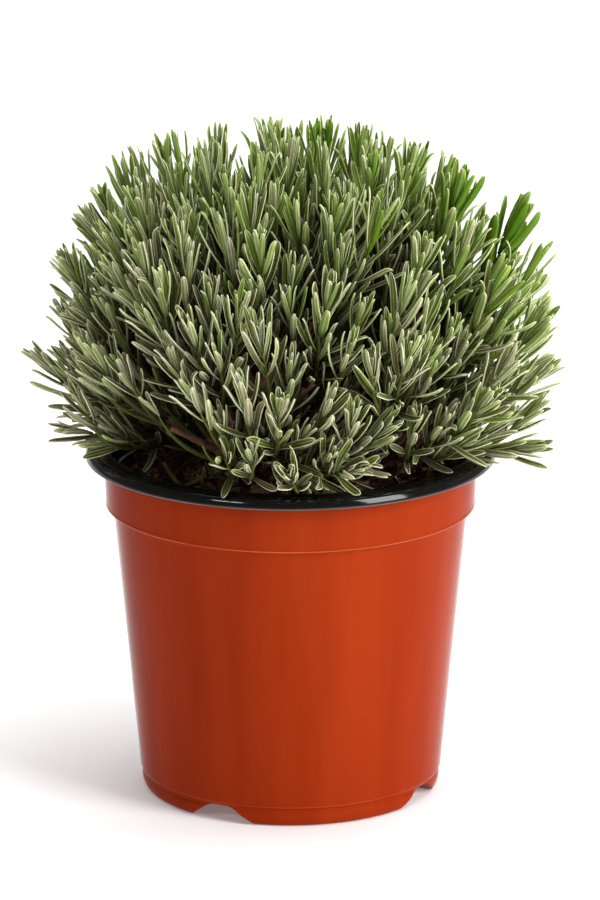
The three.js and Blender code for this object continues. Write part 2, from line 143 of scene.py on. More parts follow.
# Crumbs and bark chips on it: count, reach, least size, what a draw adds to that, and the draw's power
CRUMBS = (900, 63, 0.5, 1.3, 2)
CHIPS = (240, 58, 0.35, 0.5, 1)
CHIP_FLAT = 0.6
CHIP_LONG = 5.0
CRUMB_RINGS = 3
CRUMB_SIDES = 6
# The least distance of a crumb's corner and what a draw adds, its tilt, and how high it lies, as shares
CRUMB_CORNERS = (0.65, 0.7)
CRUMB_TILT = 0.9
CRUMB_RISE = 0.3
# Dead leaves on it: how high they lie, how flat, and the least of each measure with what a draw adds
LITTER_COUNT = 90
LITTER_REACH = 48
LITTER_RISE = 0.8
LITTER_FLAT = 1.2
LITTER_FORM = {"length": (8, 8), "width": (1.6, 1), "start": (0, 0.5), "bend": (0, 0.8), "curl": (0, 1.8)}
LITTER_SWAY = 0.1
LITTER_LOOK = {"tone": (0, 0.18), "felt": (0.2, 0.5)}
# The painted shade of the dead leaves under the bush
LITTER_PAINTED_SHADE = 0.2

# The surface of the growing tips, as in the solids
DOME_RADIUS = 87
DOME_SHIFT = 1
DOME_CENTRE = 160
DOME_HEIGHT = 73
DOME_POWER = 0.8
DOME_STEPS = 30
SKIRT_RADIUS = 84
SKIRT_BOTTOM = 136
SKIRT_DENSITY = 1.4
TOP_DENSITY = 1.8

# Shoots, as in the solids
SHOOTS = 46
SEED = 20260
TURN = 137.508
JITTER = 3
SIZE_SPREAD = 0.06
LEAN = 0.5
SKIRT_LEAN = 0.55
ROOT_SHARE = 0.5
LEAFY_LENGTH = 40
MOST_LEAFY = 0.9
ROOT_STRAIGHT = 0.25
TIP_STRAIGHT = 0.45
ARCH = 0.12
BEND_OVER_LIP = 4
CURVE_STEPS = 200
# Radii of the green stem from its tip down, and of the bare branch from there down
STEM_RADII = [0.3, 1, 1.2]
BRANCH_RADII = [1.2, 1.3, 1.8]
# The bush is open low in the front left, and on the upper right a few shoots are larger
OPENING = {"from": -60, "to": -20, "below": 158, "outside": 32}
VIGOUR = {"angle": 84, "height": 208, "reach": 32, "gain": 0.5, "push": 5}

# Pairs of leaves, as in the solids: distance from the tip, length, width, angle at the root and at the end
PAIRS = [
    (2.5, 15, 2.6, 16, 4), (8, 19, 3.0, 28, 9), (15.5, 22, 3.2, 38, 15),
    (24.5, 22, 3.2, 47, 22), (35, 20, 3.1, 56, 30),
]
WIDEST = 1.3
CLEARANCE = 0.35
LEAF_SAMPLES = 6
STEM_SAMPLE = 2
CROWN_ROOM = 5
RETRIES = [(0, 1), (24, 1), (-24, 1), (0, 0.75), (40, 0.8), (-40, 0.8)]

# Young and small leaves between those pairs, in the same form, and their turn from them
BETWEEN = 45
YOUNG_PAIRS = [
    (0.2, 8, 1.5, 7, 1), (1.0, 12, 2.1, 12, 2), (5, 16, 2.5, 20, 5),
    (11.5, 17, 2.6, 27, 7), (19.5, 16, 2.6, 33, 10), (29, 15, 2.5, 38, 14),
]
# All the pairs of a shoot that only this script has
SIDE_PAIRS = [
    (0.2, 8, 1.5, 6, 1), (1.5, 13, 2.0, 11, 2), (4, 16, 2.4, 17, 3), (7.5, 18, 2.7, 23, 5),
    (11.5, 20, 2.9, 28, 8), (16, 21, 3.0, 34, 12), (21.5, 20, 3.0, 40, 16), (28, 19, 3.0, 47, 22),
]
# Added leaves may crowd: they take up this share of their width
CROWDED = 0.6
ADDED_RETRIES = RETRIES[:3]
# Layers of added shoots: places, depth, pairs of leaves, distance apart, offset and seed
SIDE_LAYER = (290, (-1, 13), SIDE_PAIRS, 10, 0.5, 4111)
INNER_LAYER = (420, (14, 70), SIDE_PAIRS[2:], 6, 0.3, 9029)
# How far an added shoot leans by chance, and the ranges of its size and of the stretch of its leaves
SWAY = 0.2
ADDED_SIZE = (0.85, 1.05)
ADDED_STRETCH = (-0.08, 0.12)
# It leaves its parent this far down, plus a share of the distance of the tips, or at its lowest share
SIDE_DOWN = 26
SIDE_DOWN_SHARE = 1.6
SIDE_LOWEST = 0.9
SIDE_TIP_STRAIGHT = 0.5
SIDE_ROOT_STRAIGHT = 0.35
# Added tips further right than this share of the dome's radius reach further out
RIGHT_FROM = 0.6
RIGHT_REACH = 4
# Painted shade: leaves grow dark over this depth in the bush, but less so low in it, where light comes in
# from the side
PAINTED_SHADE_DEPTHS = (2, 23)
LOW_HEIGHTS = (158, 130)
LOW_LIT = 0.6
# At the top added shoots stand higher and further apart, and leaves are longer and narrower
HIGH_HEIGHTS = (180, 225)
HIGH_STRETCH = 0.2
MAIN_STRETCH = 0.1
HIGH_SPACING = 0.35
HIGH_RISE = 2.5
# Where the solids' shoots are vigorous, added ones stand further apart and share less of that vigour
VIGOUR_SPACING = 0.7
VIGOUR_SHARE = 0.45
# The seed of all that isn't growth
LOOKS_SEED = 7

# A leaf's section: place across as a share of half its width, height as a share of half its thickness, and
# how much of the pale felt shows there
SECTION = [
    (1.0, 0.0, 1.0), (0.86, 1.0, 1.0), (0.52, 0.2, 0.0), (0.0, 0.1, 0.6), (-0.52, 0.2, 0.0),
    (-0.86, 1.0, 1.0), (-1.0, 0.0, 1.0), (-0.6, -0.7, 0.4), (0.0, -1.0, 0.8), (0.6, -0.7, 0.4),
]
PLAIN_SECTION = [(1.0, 0.0, 1.0), (0.0, 0.2, 0.2), (-1.0, 0.0, 1.0), (0.0, -1.0, 0.6)]
LEAF_THICKNESS = 0.85
LEAF_STEPS = 40
LEAF_STATIONS = [0, 8, 17, 26, 33, 36, 39]
PLAIN_STATIONS = [0, 14, 30, 38]
TROUGH = 0.16
# A leaf's outline, as shares: its root, where it is full, how it falls, and where its round tip starts
ROOT_WIDTH = 0.4
FULL_AT = 0.5
FALL_FROM = 0.55
FALL = 0.16
FALL_POWER = 1.5
TIP_FROM = 0.8
# Its ends are thinner, and so are leaves narrower than this
END_THICKNESS = 0.5
THIN_BELOW = 2.8
# Where it starts to curl, the felt at its two ends, and the felt that its tip adds
CURL_FROM = 0.62
END_FELT = (0.2, 1.0)
TIP_FELT = 0.35

# A leaf's tone: the least, what height, youth, a place right and back (painted light, where the lamps fall)
# and vigour add, and its spread
TONE = {"least": 0.25, "high": 0.34, "young": 0.16, "right": 0.1, "vigour": 0.4, "spread": 0.13}
TONE_HEIGHTS = (135, 230)
TONE_POWER = 1.5
TONE_RANGE = (0.12, 1)
# A few leaves are old and dull
DULL_SHARE = 0.06
DULLER = 0.5
# Its felt: the most, what tone and vigour take away, what a low place adds (painted light on the shaded low
# leaves), and its spread
FELT = {"most": 1.1, "tone": 0.45, "vigour": 0.3, "low": 0.12, "spread": 0.16}
FELT_HEIGHTS = (130, 190)
FELT_RANGE = (0.2, 1)
# Its small turns: the spread of twist and sway, the mean and spread of curl, and a few that hook
TWIST_SPREAD = 0.4
SWAY_SPREAD = 0.06
CURL = (0.1, 0.28)
HOOKED_SHARE = 0.02
HOOK = 1.3
# Its size beside the solids' leaf
SLENDER = 0.92
LENGTH_SPREAD = 0.06
LENGTH_VIGOUR = 0.08
WIDTH_VIGOUR = 0.3

# Green stems beside the solids' ones, with their tones at the foot and at the tip
SLIMMER = 0.8
STEM_TONES = (0.08, 0.42)
STEM_FELT = 0.25
STEM_ALONG = 0.5
# They go from a little way into the branch to just under the tip, as shares of the green part
STEM_ENDS = (1.02, 0.01)
STEM_RINGS = 9
STEM_SIDES = 7
# Wood: how much it wobbles, by noise per millimetre across and up and for each side, and rings and sides
WOBBLE = 0.35
WOBBLE_NOISE = (0.35, 0.22, 1.7)
BRANCH_MESH = (16, 8)
SIDE_BRANCH_RADII = [1.0, 1.1, 1.2]
SIDE_BRANCH_MESH = (10, 6)
# Trunks: their rings beside the compost's surface, and the radii of all their rings
TRUNK_RISES = (-TRUNK_DEPTH, -1, 1.2)
TRUNK_RADII = [TRUNK_RADIUS, TRUNK_RADIUS, TRUNK_RADIUS, TRUNK_TOP_RADIUS, TRUNK_TOP_RADIUS * 0.7]
TRUNK_SIDES = 12


def srgb(red, green, blue):
    """A colour from 0 to 255, as the linear values that Blender takes."""
    shares = [value / 255 for value in (red, green, blue)]
    return [s / 12.92 if s <= 0.04045 else ((s + 0.055) / 1.055) ** 2.4 for s in shares] + [1]


def mix(a, b, share):
    return a + (b - a) * share


def portion(value, low, high):
    """How far a value is on the way from low to high, between 0 and 1."""
    return np.clip((value - low) / (high - low), 0, 1)


def unit(vector):
    return vector / norm(vector)


def around(angle, radius, height):
    """The place at an angle, a radius and a height."""
    turn = math.radians(angle)
    return np.array([radius * math.sin(turn), -radius * math.cos(turn), height])


# Meshes


def skin_faces(rings, sides):
    """Triangles of one closed skin: a fan at the first point, the rings, and a fan at the last point."""
    faces = []
    end = 1 + rings * sides
    for i in range(sides):
        after = (i + 1) % sides
        faces.append((0, 1 + after, 1 + i))
        for ring in range(rings - 1):
            a, b = 1 + ring * sides + i, 1 + ring * sides + after
            faces += [(a, b, a + sides), (b, b + sides, a + sides)]
        last = 1 + (rings - 1) * sides
        faces.append((end, last + i, last + after))
    return np.array(faces)


def skins(rings, starts, ends):
    """Points and triangles of many closed skins. rings has shape (bodies, rings, sides, 3)."""
    count, ring_count, sides = rings.shape[:3]
    flat = rings.reshape(count, ring_count * sides, -1)
    points = np.concatenate([starts[:, None], flat, ends[:, None]], axis=1)
    step = points.shape[1]
    faces = skin_faces(ring_count, sides)[None] + (np.arange(count) * step)[:, None, None]
    return points.reshape(count * step, -1), faces.reshape(-1, 3)


def joined(parts):
    """Several pairs of points and triangles as one."""
    points, faces, offset = [], [], 0
    for part_points, part_faces in parts:
        points.append(part_points)
        faces.append(part_faces + offset)
        offset += len(part_points)
    return np.concatenate(points), np.concatenate(faces)


def placed(name, data):
    """A new object in the scene."""
    made = bpy.data.objects.new(name, data)
    bpy.context.scene.collection.objects.link(made)
    return made


def make_object(name, points, faces, material, extra=()):
    """An object from rows of x, y, z in millimetres, which the named extra columns may follow."""
    mesh = bpy.data.meshes.new(name)
    mesh.vertices.add(len(points))
    mesh.vertices.foreach_set("co", (points[:, :3] * MM).astype(np.float32).ravel())
    mesh.loops.add(faces.size)
    mesh.loops.foreach_set("vertex_index", faces.astype(np.int32).ravel())
    mesh.polygons.add(len(faces))
    mesh.polygons.foreach_set("loop_start", np.arange(0, faces.size, 3, dtype=np.int32))
    mesh.update(calc_edges=True)
    mesh.shade_smooth()
    for column, title in enumerate(extra, start=3):
        attribute = mesh.attributes.new(title, "FLOAT", "POINT")
        attribute.data.foreach_set("value", points[:, column].astype(np.float32))
    mesh.materials.append(material)
    return placed(name, mesh)


def finish_piece(piece, slot, *nodes):
    """Every piece rides on the part's one body, and may stand for nodes of the frame."""
    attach(piece, "root")
    if nodes:
        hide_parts(*nodes)


# Materials

# Columns of leaf points; inside carries the painted shade deep in the bush
LEAF_COLUMNS = ("tone", "felt", "along", "inside")

# Noise of each look: scale, detail and roughness
# Patches in which the painted highlights come and go
HIGHLIGHT_PATCH_NOISE = (45, 3)
PAINTED_REFLECTION_STREAKS = (46, 3, 0.55)
SCUFFS = (420, 5, 0.7)
WAVES = (9, 0)
DUST = (160, 6, 0.7)
DIMPLES = (60, 2)
HAZE = (300,)
FIBRES = (220, 8, 0.8)
CLUMPS = (300, 8, 0.75)
BARK_CLOUDS = (90, 5, 0.65)
BARK_FLAKES = (700, 6, 0.7)
MOTTLE = (260, 5, 0.65)
FUZZ = (1400, 3, 0.7)
HAIRS = (1500, 4, 0.7)
FLOOR_CLOUDS = (2,)
GRAIN_SCALE = 480.0
# Painted reflection streaks are stretched upwards
STREAK_SHAPE = (1, 1, 0.06)
FELT_POWER = 2.3

# The clay's colour, and the lighter colour of its painted reflection streaks
CLAY = (srgb(139, 40, 9), srgb(155, 50, 14))
# Colour of the painted highlights on the pot's edges
CLAY_PAINTED_HIGHLIGHT = srgb(222, 122, 78)
BLACKS = (srgb(14, 13, 12), srgb(32, 29, 26))
# Colour of the painted highlight on the lip's lower edge
BLACK_PAINTED_HIGHLIGHT = srgb(150, 150, 146)
FIBRE = srgb(84, 50, 30)
# Stops of colour ramps: a place from 0 to 1, and the colour there
PEAT = [(0.0, 32, 20, 13), (0.55, 74, 46, 30), (0.85, 116, 74, 46), (1.0, 158, 116, 80)]
BARKS = [(0.3, 62, 40, 28), (0.5, 122, 86, 60), (0.62, 154, 114, 82), (0.8, 182, 156, 128)]
GREENS = [
    (0.0, 104, 76, 42), (0.1, 98, 90, 46), (0.2, 84, 86, 26),
    (0.45, 94, 110, 16), (0.7, 96, 128, 18), (1.0, 86, 130, 20),
]
FELTS = [
    (0.0, 176, 156, 120), (0.1, 222, 216, 184), (0.2, 240, 240, 204),
    (0.6, 240, 246, 188), (1.0, 192, 220, 104),
]
MOTTLED = srgb(150, 165, 100)
# Colour of the painted shade towards each leaf's root
LEAF_ROOT_PAINTED_SHADE = srgb(60, 78, 22)
# Colour of the painted shade deep in the bush
LEAF_PAINTED_SHADE = srgb(60, 56, 22)
FLOOR_WHITES = (srgb(246, 246, 246), srgb(250, 250, 250))
WHITE = srgb(255, 255, 255)


def add_node(tree, kind, inputs=(), **options):
    """A shader node with its options, and with each input set to a value or joined to an output."""
    made = tree.nodes.new("ShaderNode" + kind)
    for option, value in options.items():
        setattr(made, option, value)
    for socket, value in dict(inputs).items():
        if isinstance(value, bpy.types.NodeSocket):
            tree.links.new(value, made.inputs[socket])
        else:
            made.inputs[socket].default_value = value
    return made


def own_place(tree):
    """The object's own coordinates."""
    return add_node(tree, "TexCoord").outputs["Object"]


def maths(tree, operation, *values, **options):
    return add_node(tree, "Math", enumerate(values), operation=operation, **options).outputs[0]


def blended(tree, share, a, b, blend="MIX"):
    """Two colours mixed by a share."""
    inputs = {0: share, 6: a, 7: b}
    return add_node(tree, "Mix", inputs, data_type="RGBA", blend_type=blend, clamp_result=True).outputs[2]


def ramp(tree, value, stops):
    """The colour that a value from 0 to 1 picks between stops."""
    made = add_node(tree, "ValToRGB", {"Fac": value})
    elements = made.color_ramp.elements
    elements[0].position, elements[1].position = stops[0][0], stops[-1][0]
    for stop in stops[1:-1]:
        elements.new(stop[0])
    for element, stop in zip(elements, stops):
        element.color = srgb(*stop[1:])
    return made.outputs["Color"]


def spread(tree, value, low, high, to_low=0.0, to_high=1.0):
    """A value taken from one range to another."""
    inputs = {"Value": value, 1: low, 2: high, 3: to_low, 4: to_high}
    return add_node(tree, "MapRange", inputs).outputs["Result"]


def grain(tree, scale, detail=4.0, roughness=0.6, place=None):
    """Noise over the object's own coordinates, or over others."""
    inputs = {"Vector": place or own_place(tree), "Scale": scale, "Detail": detail, "Roughness": roughness}
    return add_node(tree, "TexNoise", inputs).outputs["Fac"]


def relief(tree, height, distance, strength=1.0, normal=None):
    """A bump from a height, with its depth in metres."""
    inputs = {"Height": height, "Distance": distance, "Strength": strength}
    if normal:
        inputs["Normal"] = normal
    return add_node(tree, "Bump", inputs).outputs["Normal"]


def surface(build, **settings):
    """A material: build gives colour, roughness and normal, and constants go on the shader's own sockets."""
    made = bpy.data.materials.new(build.__name__)
    made.use_nodes = True
    tree = made.node_tree
    shader = tree.nodes["Principled BSDF"]
    for socket, value in settings.items():
        shader.inputs[socket.replace("_", " ")].default_value = value
    for socket, output in zip(("Base Color", "Roughness", "Normal"), build(tree)):
        tree.links.new(output, shader.inputs[socket])
    return made


def painted_highlight_band(tree, middle, reach, strength):
    """How strong a painted highlight is near a height, in patches."""
    height = add_node(tree, "SeparateXYZ", {0: own_place(tree)}).outputs["Z"]
    near = maths(tree, "COMPARE", height, middle * MM, reach * MM)
    highlight_patches = spread(tree, grain(tree, *HIGHLIGHT_PATCH_NOISE), 0.3, 0.7, 0.35 * strength, strength)
    return maths(tree, "MULTIPLY", near, highlight_patches)


def terracotta_plastic(tree):
    """Glossy thin plastic: faint upright streaks of painted reflection, waves from forming, fine scuffs, and
    painted highlights along the collar's lower edge and the foot.
    """
    drawn = add_node(tree, "VectorMath", {0: own_place(tree), 1: STREAK_SHAPE}, operation="MULTIPLY")
    # Painted reflection: faint lighter upright streaks
    reflection_streaks = grain(tree, *PAINTED_REFLECTION_STREAKS, place=drawn.outputs["Vector"])
    colour = blended(tree, spread(tree, reflection_streaks, 0.32, 0.68), *CLAY)
    # Painted highlights: pale lines along the collar's lower edge and the foot
    for edge in PAINTED_HIGHLIGHT_EDGES:
        colour = blended(tree, painted_highlight_band(tree, *edge), colour, CLAY_PAINTED_HIGHLIGHT)
    scuffs = grain(tree, *SCUFFS)
    waves = relief(tree, grain(tree, *WAVES), 0.0006, 0.5)
    return colour, spread(tree, scuffs, 0.35, 0.75, 0.1, 0.17), relief(tree, scuffs, 0.000004, 0.3, waves)


def black_plastic(tree):
    """The same plastic in black, with a little dust, and a painted highlight along the lip's lower edge."""
    colour = blended(tree, spread(tree, grain(tree, *DUST), 0.5, 0.8, 0.0, 0.3), *BLACKS)
    # Painted highlight along the lip's lower edge
    colour = blended(tree, painted_highlight_band(tree, *PAINTED_HIGHLIGHT_LIP), colour, BLACK_PAINTED_HIGHLIGHT)
    roughness = spread(tree, grain(tree, *HAZE), 0.3, 0.8, 0.08, 0.13)
    return colour, roughness, relief(tree, grain(tree, *DIMPLES), 0.0002, 0.2)


def compost_soil(tree):
    """Moist dark peat with lighter fibres."""
    grains = add_node(tree, "TexVoronoi", {"Vector": own_place(tree), "Scale": GRAIN_SCALE}).outputs
    shade = add_node(tree, "SeparateColor", {"Color": grains["Color"]}).outputs["Red"]
    fibres = spread(tree, grain(tree, *FIBRES), 0.55, 0.75)
    colour = blended(tree, fibres, ramp(tree, shade, PEAT), FIBRE)
    rough = relief(tree, grain(tree, *CLUMPS), 0.0012, 0.9)
    roughness = spread(tree, shade, 0.0, 1.0, 0.7, 1.0)
    return colour, roughness, relief(tree, grains["Distance"], 0.0005, 0.6, rough)


def bark(tree):
    """Grey-brown bark that flakes along the stem, with redder places."""
    clouds = grain(tree, *BARK_CLOUDS)
    roughness = spread(tree, clouds, 0.3, 0.7, 0.95, 0.7)
    return ramp(tree, clouds, BARKS), roughness, relief(tree, grain(tree, *BARK_FLAKES), 0.0004, 0.8)


def felted_leaf(tree):
    """Grey-green leaf under a pale felt that is thickest on the rolled margins and the midrib, with painted
    shade.

    tone goes from dry at 0 through sage to fresh green at 1, felt is how much felt shows, along goes from the
    root at 0 to the tip at 1, and inside goes from 0 at the bush's surface to 1 deep in it. Painted shade
    darkens each leaf towards its root, and the leaves deep in the bush."""
    tone, felt, along, inside = [
        add_node(tree, "Attribute", attribute_name=title).outputs["Fac"] for title in LEAF_COLUMNS
    ]
    mottle = spread(tree, grain(tree, *MOTTLE), 0.3, 0.7, 0.0, 0.5)
    green = blended(tree, mottle, ramp(tree, tone, GREENS), MOTTLED, "MULTIPLY")
    fuzz = spread(tree, grain(tree, *FUZZ), 0.3, 0.75, 0.65, 1.05)
    share = maths(tree, "MULTIPLY", maths(tree, "POWER", felt, FELT_POWER), fuzz, use_clamp=True)
    colour = blended(tree, share, green, ramp(tree, tone, FELTS))
    # Painted shade: darker towards each leaf's root
    colour = blended(tree, spread(tree, along, 0.0, 0.45, 0.45, 0.0), colour, LEAF_ROOT_PAINTED_SHADE)
    # Painted shade deep in the bush
    colour = blended(tree, spread(tree, inside, 0.0, 1.0, 0.0, 0.88), colour, LEAF_PAINTED_SHADE, "MULTIPLY")
    roughness = spread(tree, felt, 0.0, 1.0, 0.5, 0.75)
    return colour, roughness, relief(tree, grain(tree, *HAIRS), 0.00012, 0.6)


def pale_floor(tree):
    return [blended(tree, grain(tree, *FLOOR_CLOUDS), *FLOOR_WHITES)]


# Pot

LIP_UNDERSIDE = LIP_TOP - LIP_THICKNESS
SHELL_TOP = LIP_UNDERSIDE - GAP
LINING_OUTSIDE = SHELL_THICKNESS + GAP
LINING_INSIDE = LINING_OUTSIDE + LINING_THICKNESS
FILLING = LINING_INSIDE + GAP
ABOVE = LIP_TOP + CUTTER
WALL = [
    (0, FLOOR_UNDERSIDE),
    (FOOT_RADIUS - FOOT_WIDTH - FOOT_SLANT, FLOOR_UNDERSIDE),
    (FOOT_RADIUS - FOOT_WIDTH, 0),
    (FOOT_RADIUS, 0),
    (BODY_BASE_RADIUS, FOOT_HEIGHT),
    (BODY_TOP_RADIUS, COLLAR_BOTTOM - STEP_HEIGHT),
    (COLLAR_RADIUS, COLLAR_BOTTOM),
    (COLLAR_TOP_RADIUS, SHELL_TOP),
]
WALL_ABOVE_FOOT = 4


def inset(distance):
    """The wall moved inwards: each side of it is shifted, and neighbours meet again."""
    sides = []
    for (r0, z0), (r1, z1) in zip(WALL, WALL[1:]):
        dr, dz = r1 - r0, z1 - z0
        shift = distance / math.hypot(dr, dz)
        sides.append((r0 - dz * shift, z0 + dr * shift, dr, dz))
    corners = []
    for (ar, az, adr, adz), (br, bz, bdr, bdz) in zip(sides, sides[1:]):
        share = ((br - ar) * bdz - (bz - az) * bdr) / (adr * bdz - adz * bdr)
        corners.append((ar + adr * share, az + adz * share))
    r, z, dr, dz = sides[-1]
    return [(0, sides[0][1]), *corners, (r + dr, z + dz)]


def rounded(outline, reach, closed=False):
    """An outline with its corners rounded. reach is how far before and after a corner the round starts."""
    points = [np.array(point, float) for point in outline]
    count = len(points)
    result = []
    for i, corner in enumerate(points):
        if not closed and i in (0, count - 1):
            result.append(corner)
            continue
        sides = [points[i - 1] - corner, points[(i + 1) % count] - corner]
        room = min(reach, *[norm(side) * CORNER_SHARE for side in sides])
        start, end = [corner + unit(side) * room for side in sides]
        for t in np.linspace(0, 1, CORNER_STEPS):
            result.append((1 - t) ** 2 * start + 2 * t * (1 - t) * corner + t * t * end)
    return result


def spun(outline, segments):
    """Rows of points round Z, one row for each radius and height."""
    angles = np.linspace(0, 2 * math.pi, segments, endpoint=False)
    radii, heights = np.array(outline, float).T[..., None]
    return np.stack([radii * np.cos(angles), radii * np.sin(angles), heights + 0 * angles], axis=-1)


def capped(rows, bottom, top):
    """A closed skin of rows of points, with its ends on the axis at two heights."""
    return skins(rows[None], *[np.array([[0, 0, height]]) for height in (bottom, top)])


def turned(profile, segments=POT_SEGMENTS):
    """A profile from axis to axis, turned round Z, as points and triangles."""
    return capped(spun(profile[1:-1], segments), profile[0][1], profile[-1][1])


def turned_about_z(points, angle):
    turn = math.radians(angle)
    c, s = math.cos(turn), math.sin(turn)
    return points @ np.array([[c, s, 0], [-s, c, 0], [0, 0, 1]])


def notch_cutters(distance):
    """The notches in the foot, grown on every side by a distance, with rounded tops."""
    top, bottom, height = NOTCH_TOP_HALF + distance, NOTCH_BOTTOM_HALF + distance, NOTCH_TOP + distance
    arch = rounded([(bottom, 0), (top, height), (-top, height), (-bottom, 0)], NOTCH_ROUNDING)
    outline = [(bottom, -CUTTER), *arch, (-bottom, -CUTTER)]
    ends = (-FOOT_RADIUS + FOOT_WIDTH + CUTTER, -FOOT_RADIUS - 2 * CUTTER)
    rings = [[(x, y, z) for x, z in outline] for y in ends]
    points, faces = skins(np.array([rings]), *[np.mean(ring, axis=0)[None] for ring in rings])
    return joined([(turned_about_z(points, angle), faces) for angle in NOTCH_ANGLES])


def drain_cutters():
    """The drain holes in the floor: a middle one, and a ring in line with the notches."""
    profile = [(0, -CUTTER), (DRAIN_RADIUS, -CUTTER), (DRAIN_RADIUS, 4 * CUTTER), (0, 4 * CUTTER)]
    points, faces = turned(profile, DRAIN_SIDES)
    places = [around(angle, DRAIN_CIRCLE, 0) for angle in NOTCH_ANGLES] + [np.zeros(3)]
    return joined([(points + place, faces) for place in places])


def cut(body, *cutters):
    """A body with other bodies taken out of it. They are used up."""
    for cutter in cutters:
        modifier = body.modifiers.new("cut", "BOOLEAN")
        modifier.operation = "DIFFERENCE"
        modifier.solver = "MANIFOLD"
        modifier.object = cutter
    graph = bpy.context.evaluated_depsgraph_get()
    made = bpy.data.meshes.new_from_object(body.evaluated_get(graph), depsgraph=graph)
    body.modifiers.clear()
    body.data = made
    for cutter in cutters:
        bpy.data.objects.remove(cutter)
    return body


def vessel(name, profile, top, distance, material):
    """All that lies inside a wall profile up to a height, less the notches."""
    body = make_object(name, *turned([*profile, (profile[-1][0], top), (0, top)]), material)
    notches = make_object(name + "_notches", *notch_cutters(distance), material)
    return cut(body, notches)


def layer(name, distance, rounding, top, material):
    """All that lies inside the wall moved inwards by a distance."""
    return vessel(name, rounded(inset(distance), rounding), top, distance, material)


def hollowed(outside, inside, material):
    """A vessel less its inside and the drain holes."""
    return cut(outside, inside, make_object("drains", *drain_cutters(), material))


def crisp(piece):
    """Smooth shading that stops at sharp edges."""
    piece.data.shade_smooth()
    piece.data.set_sharp_from_angle(angle=math.radians(CRISP_FROM))
    return piece


def pot_shell(material):
    base = inset(0)
    low = [*base[:WALL_ABOVE_FOOT], *FOOT_BULGE, GROOVE, *base[WALL_ABOVE_FOOT:-2]]
    outline = rounded([*low, *COLLAR_BEAD, *base[-1:]], WALL_ROUNDING)
    outside = vessel("pot", outline, SHELL_TOP, 0, material)
    inside = layer("inside", SHELL_THICKNESS, WALL_ROUNDING, ABOVE, material)
    return crisp(hollowed(outside, inside, material))


def lip_outline():
    """The lining's top edge, turned out over the shell and down, with a fine groove in its top."""
    inner, outer = inset(LINING_INSIDE)[-1][0], inset(LINING_OUTSIDE)[-1][0]
    low = LIP_UNDERSIDE - RING_START
    bottom = LIP_TOP - LIP_DROP
    middle = mix(inner, LIP_RADIUS, 0.5)
    top = [
        *[(LIP_RADIUS - inwards, LIP_TOP - down) for inwards, down in LIP_SHOULDER],
        (middle + LIP_GROOVE_HALF, LIP_TOP),
        (middle, LIP_TOP - LIP_GROOVE),
        (middle - LIP_GROOVE_HALF, LIP_TOP),
        (inner, LIP_TOP),
    ]
    under = [(outer, low), (outer, LIP_UNDERSIDE), (LIP_RADIUS - LIP_THICKNESS, LIP_UNDERSIDE)]
    edge = [(LIP_RADIUS - LIP_THICKNESS, bottom), (LIP_RADIUS, bottom)]
    return rounded([(inner, low), *under, *edge, *top], LIP_ROUNDING, closed=True)


def ring_body(outline, segments=POT_SEGMENTS):
    """A closed outline of radii and heights, turned round Z."""
    points = spun(outline, segments).swapaxes(0, 1)
    sides = len(outline)
    a = np.arange(segments)[:, None] * sides + np.arange(sides)
    b = np.roll(a, -1, axis=1)
    c, d = np.roll(a, -1, axis=0), np.roll(b, -1, axis=0)
    faces = [np.stack(corners, -1).reshape(-1, 3) for corners in ((a, d, b), (a, c, d))]
    return points.reshape(-1, 3), np.concatenate(faces)


def mesh_of(piece):
    """An object's points in millimetres and its triangles. The object is used up."""
    mesh = piece.data
    mesh.calc_loop_triangles()
    points = np.zeros(len(mesh.vertices) * 3, np.float32)
    mesh.vertices.foreach_get("co", points)
    faces = np.zeros(len(mesh.loop_triangles) * 3, np.int32)
    mesh.loop_triangles.foreach_get("vertices", faces)
    bpy.data.objects.remove(piece)
    return points.reshape(-1, 3).astype(float) / MM, faces.reshape(-1, 3)


def pot_lining(material):
    outside = layer("lining", LINING_OUTSIDE, LINING_ROUNDING, LIP_UNDERSIDE - WALL_END, material)
    inside = layer("hollow", LINING_INSIDE, LINING_ROUNDING, ABOVE, material)
    wall = mesh_of(hollowed(outside, inside, material))
    return crisp(make_object("lining", *joined([wall, ring_body(lip_outline())]), material))


# Compost


def compost_height(x, y):
    """Height of the compost's surface, as in the solids."""
    share = np.hypot(x, y) / COLLAR_RADIUS
    crossing = np.sin(x * LUMPS["alongX"] + LUMPS["start"]) * np.cos(y * LUMPS["alongY"])
    slanting = LUMPS["slant"] * np.sin(x * LUMPS["slantX"] + y * LUMPS["slantY"])
    return COMPOST_EDGE + COMPOST_MOUND * (1 - share * share) + LUMPS["height"] * (crossing + slanting)


def crumbly(x, y):
    """Height of the crumbly surface: the lumps with clods and grains on them."""
    height = float(compost_height(x, y))
    for scale, level, exponent, step, octaves, rise in (CLODS, GRAINS):
        height += rise * noise.fractal(Vector((x * scale, y * scale, level)), exponent, step, octaves)
    return height


def compost_body():
    """The filling, with a finely crumbled surface."""
    wall = inset(FILLING)
    (r0, z0), (r1, z1) = wall[-2:]
    edge = mix(r0, r1, (COMPOST_EDGE - z0) / (z1 - z0))
    floor = wall[0][1]
    side = [(wall[WALL_ABOVE_FOOT][0], floor), *wall[WALL_ABOVE_FOOT + 1 : -1]]
    top = [(radius, 0) for radius in np.linspace(edge, 0, COMPOST_RINGS, endpoint=False)]
    rows = spun(side + top, COMPOST_SECTORS)
    for row in rows[len(side) :]:
        row[:, 2] = [crumbly(x, y) for x, y in row[:, :2]]
    return capped(rows, floor, crumbly(0, 0))


def random_place(random, reach):
    """A place on the compost, evenly over its area."""
    radius, turn = reach * math.sqrt(random.random()), random.random() * 2 * math.pi
    return radius * math.cos(turn), radius * math.sin(turn)


def measures(random, ranges):
    """A draw for each measure, from its least and what a draw adds to that."""
    return {key: least + more * random.random() for key, (least, more) in ranges.items()}


